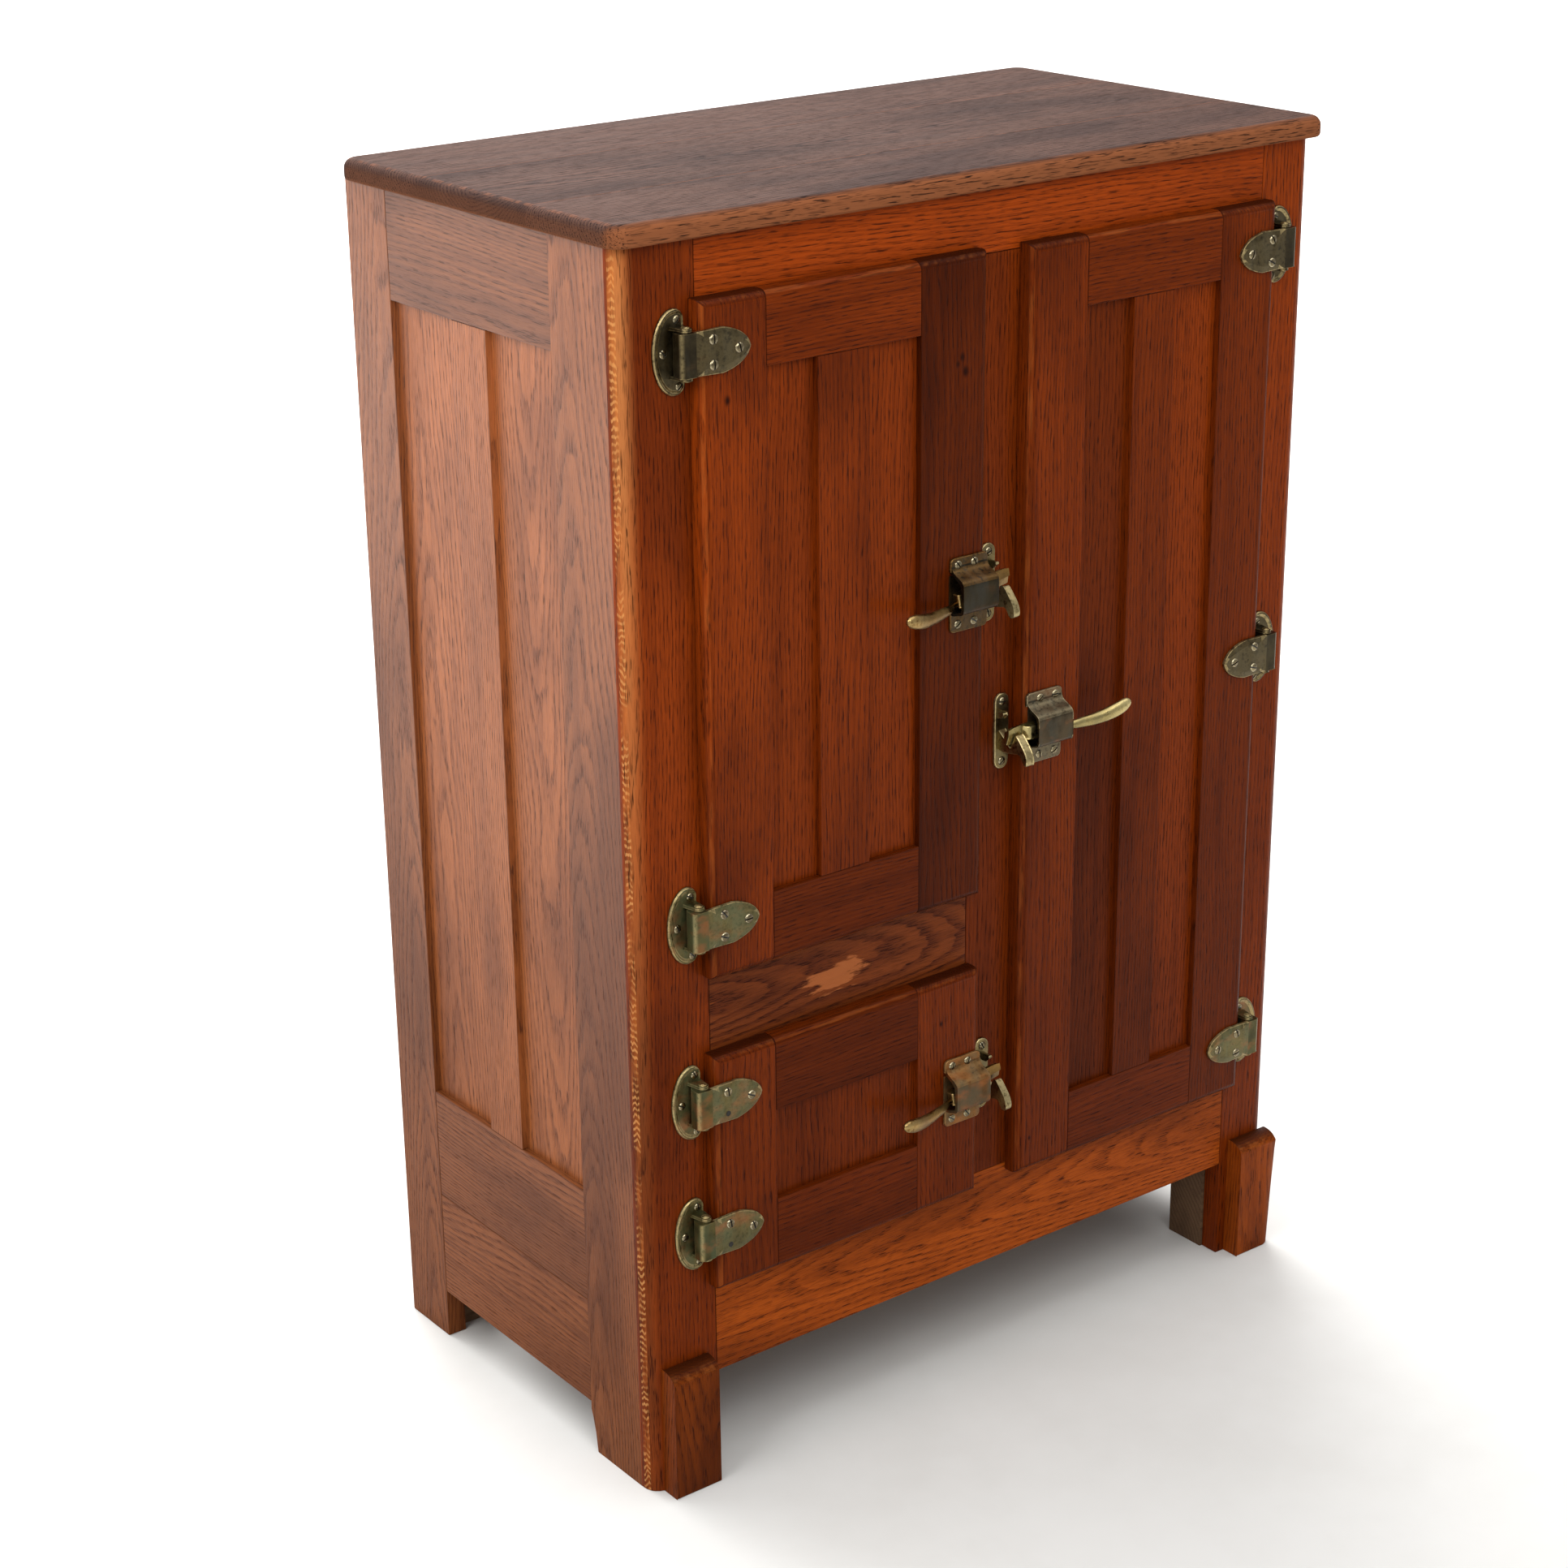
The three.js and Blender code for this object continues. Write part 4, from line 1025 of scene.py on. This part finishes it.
def hinge(title, seed):
    """The plate on the case and the strap on the door, with their screws."""
    door_name = title.rsplit("_", 1)[0]
    low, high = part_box(title + "_hinge_leaf")
    place = at(pivot_of(door_name)[X], FACE, (low.z + high.z) / 2, -DOORS[door_name]["side"])
    look = HINGE_LOOKS[title]
    plate, plate_screws = Stock(), Stock()
    frame_leaf(plate, plate_screws, place, seed)
    plate.piece(title + "_leaf_plate", look, "case", "brass", title + "_hinge_leaf")
    plate_screws.piece(title + "_leaf_screws", SCREW_BRASS, "case", "brass")
    pointed, strap_screws, hole = Stock(), Stock(), Stock()
    strap(pointed, strap_screws, hole if title in LOST_SCREWS else None, place, seed)
    if title in LOST_SCREWS:
        hole.piece(title + "_screw_hole", HOLE_SHADE, door_name, "brass")
    pointed.piece(title + "_strap", look, door_name, "brass", title + "_hinge_strap")
    strap_screws.piece(title + "_strap_screws", SCREW_BRASS, door_name, "brass")


for order, title in enumerate(HINGE_LOOKS):
    hinge(title, order + 1)

# ---------------------------------------------------------------- latches

LATCHES = {
    "ice_door": {"strike": 38.0, "lift": 12.0, "droop": 3.0, "cover": ICE_COVER, "lever": BROWN_BRASS},
    "lower_door": {"strike": 39.5, "lift": 12.0, "droop": 3.0, "cover": COPPER_COVER, "lever": BROWN_BRASS},
    "food_door": {"strike": 36.4, "lift": 0.0, "droop": 0.0, "cover": DARK_COVER, "lever": YELLOW_BRASS},
}


def rounded_plate(x, z, radii, steps=5):
    """An outline whose corners, from the lower left round to the upper left, have their own radii."""
    a, b, c, d = radii
    points = arc(x[0] + a, z[0] + a, a, a, 180, 270, steps)
    points += arc(x[1] - b, z[0] + b, b, b, 270, 360, steps)
    points += arc(x[1] - c, z[1] - c, c, c, 0, 90, steps)
    return points + arc(x[0] + d, z[1] - d, d, d, 90, 180, steps)


def round_an_end(edge):
    """True for the edges round the ends of a bar along x."""
    return abs(edge.verts[0].co.x - edge.verts[1].co.x) < 1.0


def cover_wear_and_highlight(face):
    """The arch's upward faces, its shoulder, are brightened: a painted highlight. Its narrow rims are
    brightened, partly wear and partly a painted highlight, and it is stained in front.
    """
    if face.calc_area() < 6.0 and off_axis(face.normal) > 0.3:
        return 0.9
    # Painted highlight on the shoulder, which faces up.
    return 0.45 if face.normal.z > 0.25 and face.normal.y < 0 else 0.0


def cover(stock, screws, place, seed):
    """The bent cover: two screwed flanges and an arch that is open at both ends."""
    back, sheet, half, arch_half = -18.3, 2.7, 21.8, 21.2
    flange, front = back - sheet, back - sheet - 16.8
    stand = place @ Matrix.Translation((0, back, 0))
    levels = [(0, 0), (0, sheet - 0.9), (0.3, sheet - 0.35), (0.9, sheet)]
    for z, radii in (((22.6, 35.0), (0.3, 0.3, 4.5, 4.5)), ((-35.0, -16.2), (4.5, 4.5, 0.3, 0.3))):
        plate = relief(rounded_plate((-half, half), z, radii), levels)
        local(stock, plate, stand, seed, lambda face: 0.8 if abs(face.normal.y) < 0.97 else 0.3)
    outer = catmull([(flange, 27.8), (flange - 0.5, 25.4), (flange - 2.2, 23.1),
                     (flange - 6.2, 20.6), (flange - 11.2, 18.3), (front + 1.8, 16.0),
                     (front + 0.35, 13.2), (front, 9.8), (front, 6.0)], 4)
    outer += [(front, -9.4), (front + 0.6, -12.1), (front + 2.4, -13.7)]
    outer += [(flange - 3, -17.0), (flange - 0.8, -17.7), (back, -17.7)]
    hollow = front + sheet
    inner = [(back, -16.3), (flange - 2.2, -15.8), (front + 3.4, -12.4), (front + 2.0, -9.4), (hollow, 9.6)]
    inner += catmull([(hollow + 0.4, 12.0), (hollow + 2.4, 14.6), (flange - 8.2, 17.2),
                      (flange - 3.6, 19.6), (flange + 0.2, 22.0), (back - 0.4, 24.6)], 3)
    inner += [(back, 25.6), (back, 27.8)]
    arch = ease(prism(outer + inner, -arch_half, arch_half, X), 0.6, 2, round_an_end, 60.0)
    local(stock, arch, place, seed, cover_wear_and_highlight)
    base = box_mesh((-half - 0.3, back - 1.2, -16.4), (half - 3.0, back, 19.0))
    local(stock, ease(base, 0.4, 2), place, seed, 0.2)
    post = lathe([(3.0, 0), (3.0, 14.6), (2.4, 15.2), (0, 15.3)], 16)
    local(stock, post, stand @ FACING, seed, 0.3)
    for x in (-13.3, 5.7):
        for z in (28.4, -27.2):
            screw(screws, place, x, flange + 0.1, z, seed, 0.92)


def handle_wear(face):
    """The blade's end is polished by hands, and its neck is dull."""
    reach = -face.calc_center_median().x
    return clamp((reach - 62.0) / 26.0) * 0.9 + 0.1


def lever(stock, place, seed, droop):
    """The lever: hub, hooked tongue and a handle that sweeps out to a rounded blade."""
    hub = ease(lathe([(9.0, 19.6), (9.0, 30.0)], 28), 0.7, 2)
    local(stock, hub, place @ FACING, seed, 0.4)
    end = 45.5
    bar = [(0, -4), (12, -3.8), (24, -3), (end - 12, -1), (end, -1)]
    bar += [(end, 4.8), (end - 5, 6.2), (34, 7.0), (22, 8), (0, 8)]
    local(stock, ease(prism(bar, -23.9, -19.2, Y), 0.9, 2), place, seed, edge_wear(0.5))
    tooth = [(-15.9, -5.2), (-19.0, -10.3), (-20.1, -10.1), (-23.5, -0.3), (-23.5, 3), (-17, 3)]
    local(stock, ease(prism(tooth, end - 13.5, end + 0.4, X), 0.9, 2), place, seed, edge_wear(1.0))
    core = [(-18.5, -19.8), (28.0, -19.8), (30.5, -22.0), (26.0, -28.0)]
    core += [(22.0, -29.4), (-15.5, -29.4), (-18.5, -27.0)]
    local(stock, ease(prism(core, -6.0, 6.4, Z), 1.4, 3), place, seed, edge_wear(0.6, 0.2))
    handle = loft([
        (-4, -23.6, -2.6, 2.9, 4.6), (-14, -23.7, -3.3, 2.9, 2.6), (-21, -24.4, -3.3, 2.9, 2.4),
        (-25, -25.4, -3.7, 3.0, 2.7), (-31, -27.6, -4.3, 3.4, 4.2), (-42, -30.6, -3.3, 3.8, 5.2),
        (-52, -33.3, -2.2, 4.2, 5.8), (-63, -36.6, 0.2, 4.6, 6.5), (-73, -39.3, 3.4, 4.7, 6.9),
        (-80.5, -41.1, 6.6, 4.5, 6.5), (-85.6, -41.8, 8.8, 3.7, 5.2), (-88.6, -42.2, 9.9, 2.3, 3.2),
        (-89.7, -42.3, 10.3, 0.6, 0.9),
    ], 24, 6)
    local(stock, handle, place @ Matrix.Rotation(math.radians(droop), 4, "Y"), seed, handle_wear)


def strike(stock, screws, place, seed, offset):
    """The keeper: a plate with round ends, a hooked claw and a small horn."""
    drop, half, tall, claw = 2.5, 8.65, 37.5, 4.3
    outline = rounded_plate((offset - half, offset + half), (-tall - drop, tall - drop), [half - 0.1] * 4, 10)
    plate = relief(outline, [(0, 0.3), (0, 1.6), (0.35, 2.5), (1.1, 3.0)])
    local(stock, plate, place, seed, lambda face: 0.85 if abs(face.normal.y) < 0.97 else 0.1)
    back_edge = [(-1, -16), (-1, 2), (-3, 1.6)]
    crook = catmull([(-19.4, -11.2), (-22.9, -3.9), (-25.8, 2.2), (-27.8, 2.5), (-31.2, -0.4), (-35.2, -4.8),
                     (-39.0, -9.2), (-41.8, -14.0), (-43.0, -19.0), (-42.4, -22.6)], 3)
    under = catmull([(-41.0, -24.0), (-38.6, -23.6), (-36.6, -20.6), (-33.8, -16.6), (-30.0, -15.2),
                     (-25.0, -16.2), (-16.0, -17.9), (-8.0, -18.6), (-3.0, -17.8)], 2)
    hook = back_edge + crook + under
    claw_place = place @ Matrix.Translation((0, 0, -drop))
    made = ease(prism(hook, offset - claw, offset + claw, X), 1.0, 3, round_an_end, 50.0)
    # The claw is brightened all over and most on its narrow rims: a painted highlight.
    local(stock, made, claw_place, seed, lambda face: 1.0 if face.calc_area() < 5.0 else 0.6)
    horn = [(-1, 13), (-8, 15), (-11.6, 18.8), (-11.2, 20.6), (-9, 21), (-1, 20)]
    made = ease(prism(horn, offset + 1, offset + 6, X), 0.8, 2, None, 50.0)
    local(stock, made, claw_place, seed, edge_wear(0.65, 0.35))
    for z in (29.5, -29.5):
        screw(screws, place, offset, -2.9, z - drop, seed, 0.95)


for order, (name, spec) in enumerate(LATCHES.items()):
    body = name.replace("door", "lever")
    pivot = pivot_of(body)
    place = at(pivot[X], FACE, pivot[Z], -DOORS[name]["side"])
    shell, shell_screws, keeper, keeper_screws, arm = Stock(), Stock(), Stock(), Stock(), Stock()
    cover(shell, shell_screws, place, order + 11)
    strike(keeper, keeper_screws, place, order + 21, spec["strike"])
    lever(arm, place @ Matrix.Rotation(math.radians(-spec["lift"]), 4, "Y"), order + 31, spec["droop"])
    shell.piece(name + "_cover", spec["cover"], name, "brass", name + "_latch_cover")
    shell_screws.piece(name + "_cover_screws", SCREW_BRASS, name, "brass")
    keeper.piece(name + "_keeper", KEEPER_BRASS, "case", "brass", name + "_strike")
    keeper_screws.piece(name + "_keeper_screws", SCREW_BRASS, "case", "brass")
    arm.piece(name + "_lever", spec["lever"], body, "brass", name + "_latch_lever")
SCREW.free()

# ---------------------------------------------------------------- frame nodes that stay as they are

KEPT = {"bottom_deck": RAW_CAD, "insulation": CORK, "drain_pipe": ZINC}
for name in DOORS:
    KEPT[name.replace("door", "liner")] = KEPT[name + "_core"] = ZINC
    KEPT[name + "_gasket"] = FELT
for node, material in KEPT.items():
    slots = frame["nodes"][node].data.materials
    slots.clear()
    slots.append(material)


def tacks(name):
    """Tack heads round the lining of a door's plug."""
    low, high = box_of(name + "_core")
    inset, pitch = 13 * MM, 48 * MM
    corners = [(low[X] + inset, low[Z] + inset), (high[X] - inset, low[Z] + inset),
               (high[X] - inset, high[Z] - inset), (low[X] + inset, high[Z] - inset)]
    head = lathe([(3.2, -0.4), (3.0, 0.5), (1.8, 1.1), (0, 1.3)], 10)
    stock = Stock()
    for start, end in zip(corners, corners[1:] + corners[:1]):
        count = round(math.dist(start, end) / pitch)
        for i in range(count):
            x, z = (a + (b - a) * i / count for a, b in zip(start, end))
            out = at(x, high[Y], z) @ Matrix.Rotation(math.radians(-90), 4, "X")
            local(stock, head.copy(), out, i * 0.3, 0.6)
    head.free()
    stock.piece(name + "_core_tacks", ZINC, name, "zinc")


for name in DOORS:
    tacks(name)

# ---------------------------------------------------------------- room

floor_mesh = bpy.data.meshes.new("floor")
reach = 14.0
corners = [(-reach, -reach, 0), (reach, -reach, 0), (reach, reach, 0), (-reach, reach, 0)]
floor_mesh.from_pydata(corners, [], [(0, 1, 2, 3)])
floor_mesh.materials.append(FLOOR)
floor = placed("floor", floor_mesh)
floor.location.z = -0.2 * MM  # a hair below the feet

camera_data = bpy.data.cameras.new("camera")
camera_data.lens, camera_data.sensor_width = 71.79, 36.0
camera_data.shift_x, camera_data.shift_y = 0.0337, 0.0030
camera = placed("camera", camera_data)
camera.location = (-1.8053, -2.2542, 1.6779)
camera.rotation_euler = tuple(math.radians(a) for a in (68.773, 0.976, -36.617))
scene.camera = camera


def softbox(name, where, aim, size, watts):
    data = bpy.data.lights.new(name, "AREA")
    data.shape, data.size, data.size_y, data.energy = "RECTANGLE", size[0], size[1], watts
    lamp = placed(name, data)
    lamp.location = where
    lamp.rotation_euler = (Vector(aim) - Vector(where)).to_track_quat("-Z", "Y").to_euler()


softbox("overhead_light", (0.2, 0.2, 4.4), (0, 0.2, 0), (7.0, 6.0), 195)
softbox("left_light", (-2.1, -0.4, 2.2), (0, 0, 0.9), (1.3, 1.0), 27)
softbox("left_back_light", (-3.0, 2.9, 1.9), (0, 0, 1.0), (2.4, 1.6), 27)
softbox("front_light", (-1.0, -2.3, 2.6), (0, 0, 1.0), (1.5, 1.1), 27)
softbox("back_light", (0.4, 6.2, 4.4), (0.2, 5.6, 0), (9.0, 4.0), 860)
softbox("far_light", (3.5, 10.5, 5.5), (3.5, 10.0, 0), (14.0, 6.0), 2300)
world = bpy.data.worlds.new("studio")
world.use_nodes = True
background = world.node_tree.nodes["Background"].inputs
background["Color"].default_value = (1.0, 1.0, 1.0, 1.0)
background["Strength"].default_value = 0.56
scene.world = world
scene.view_settings.view_transform = "Standard"
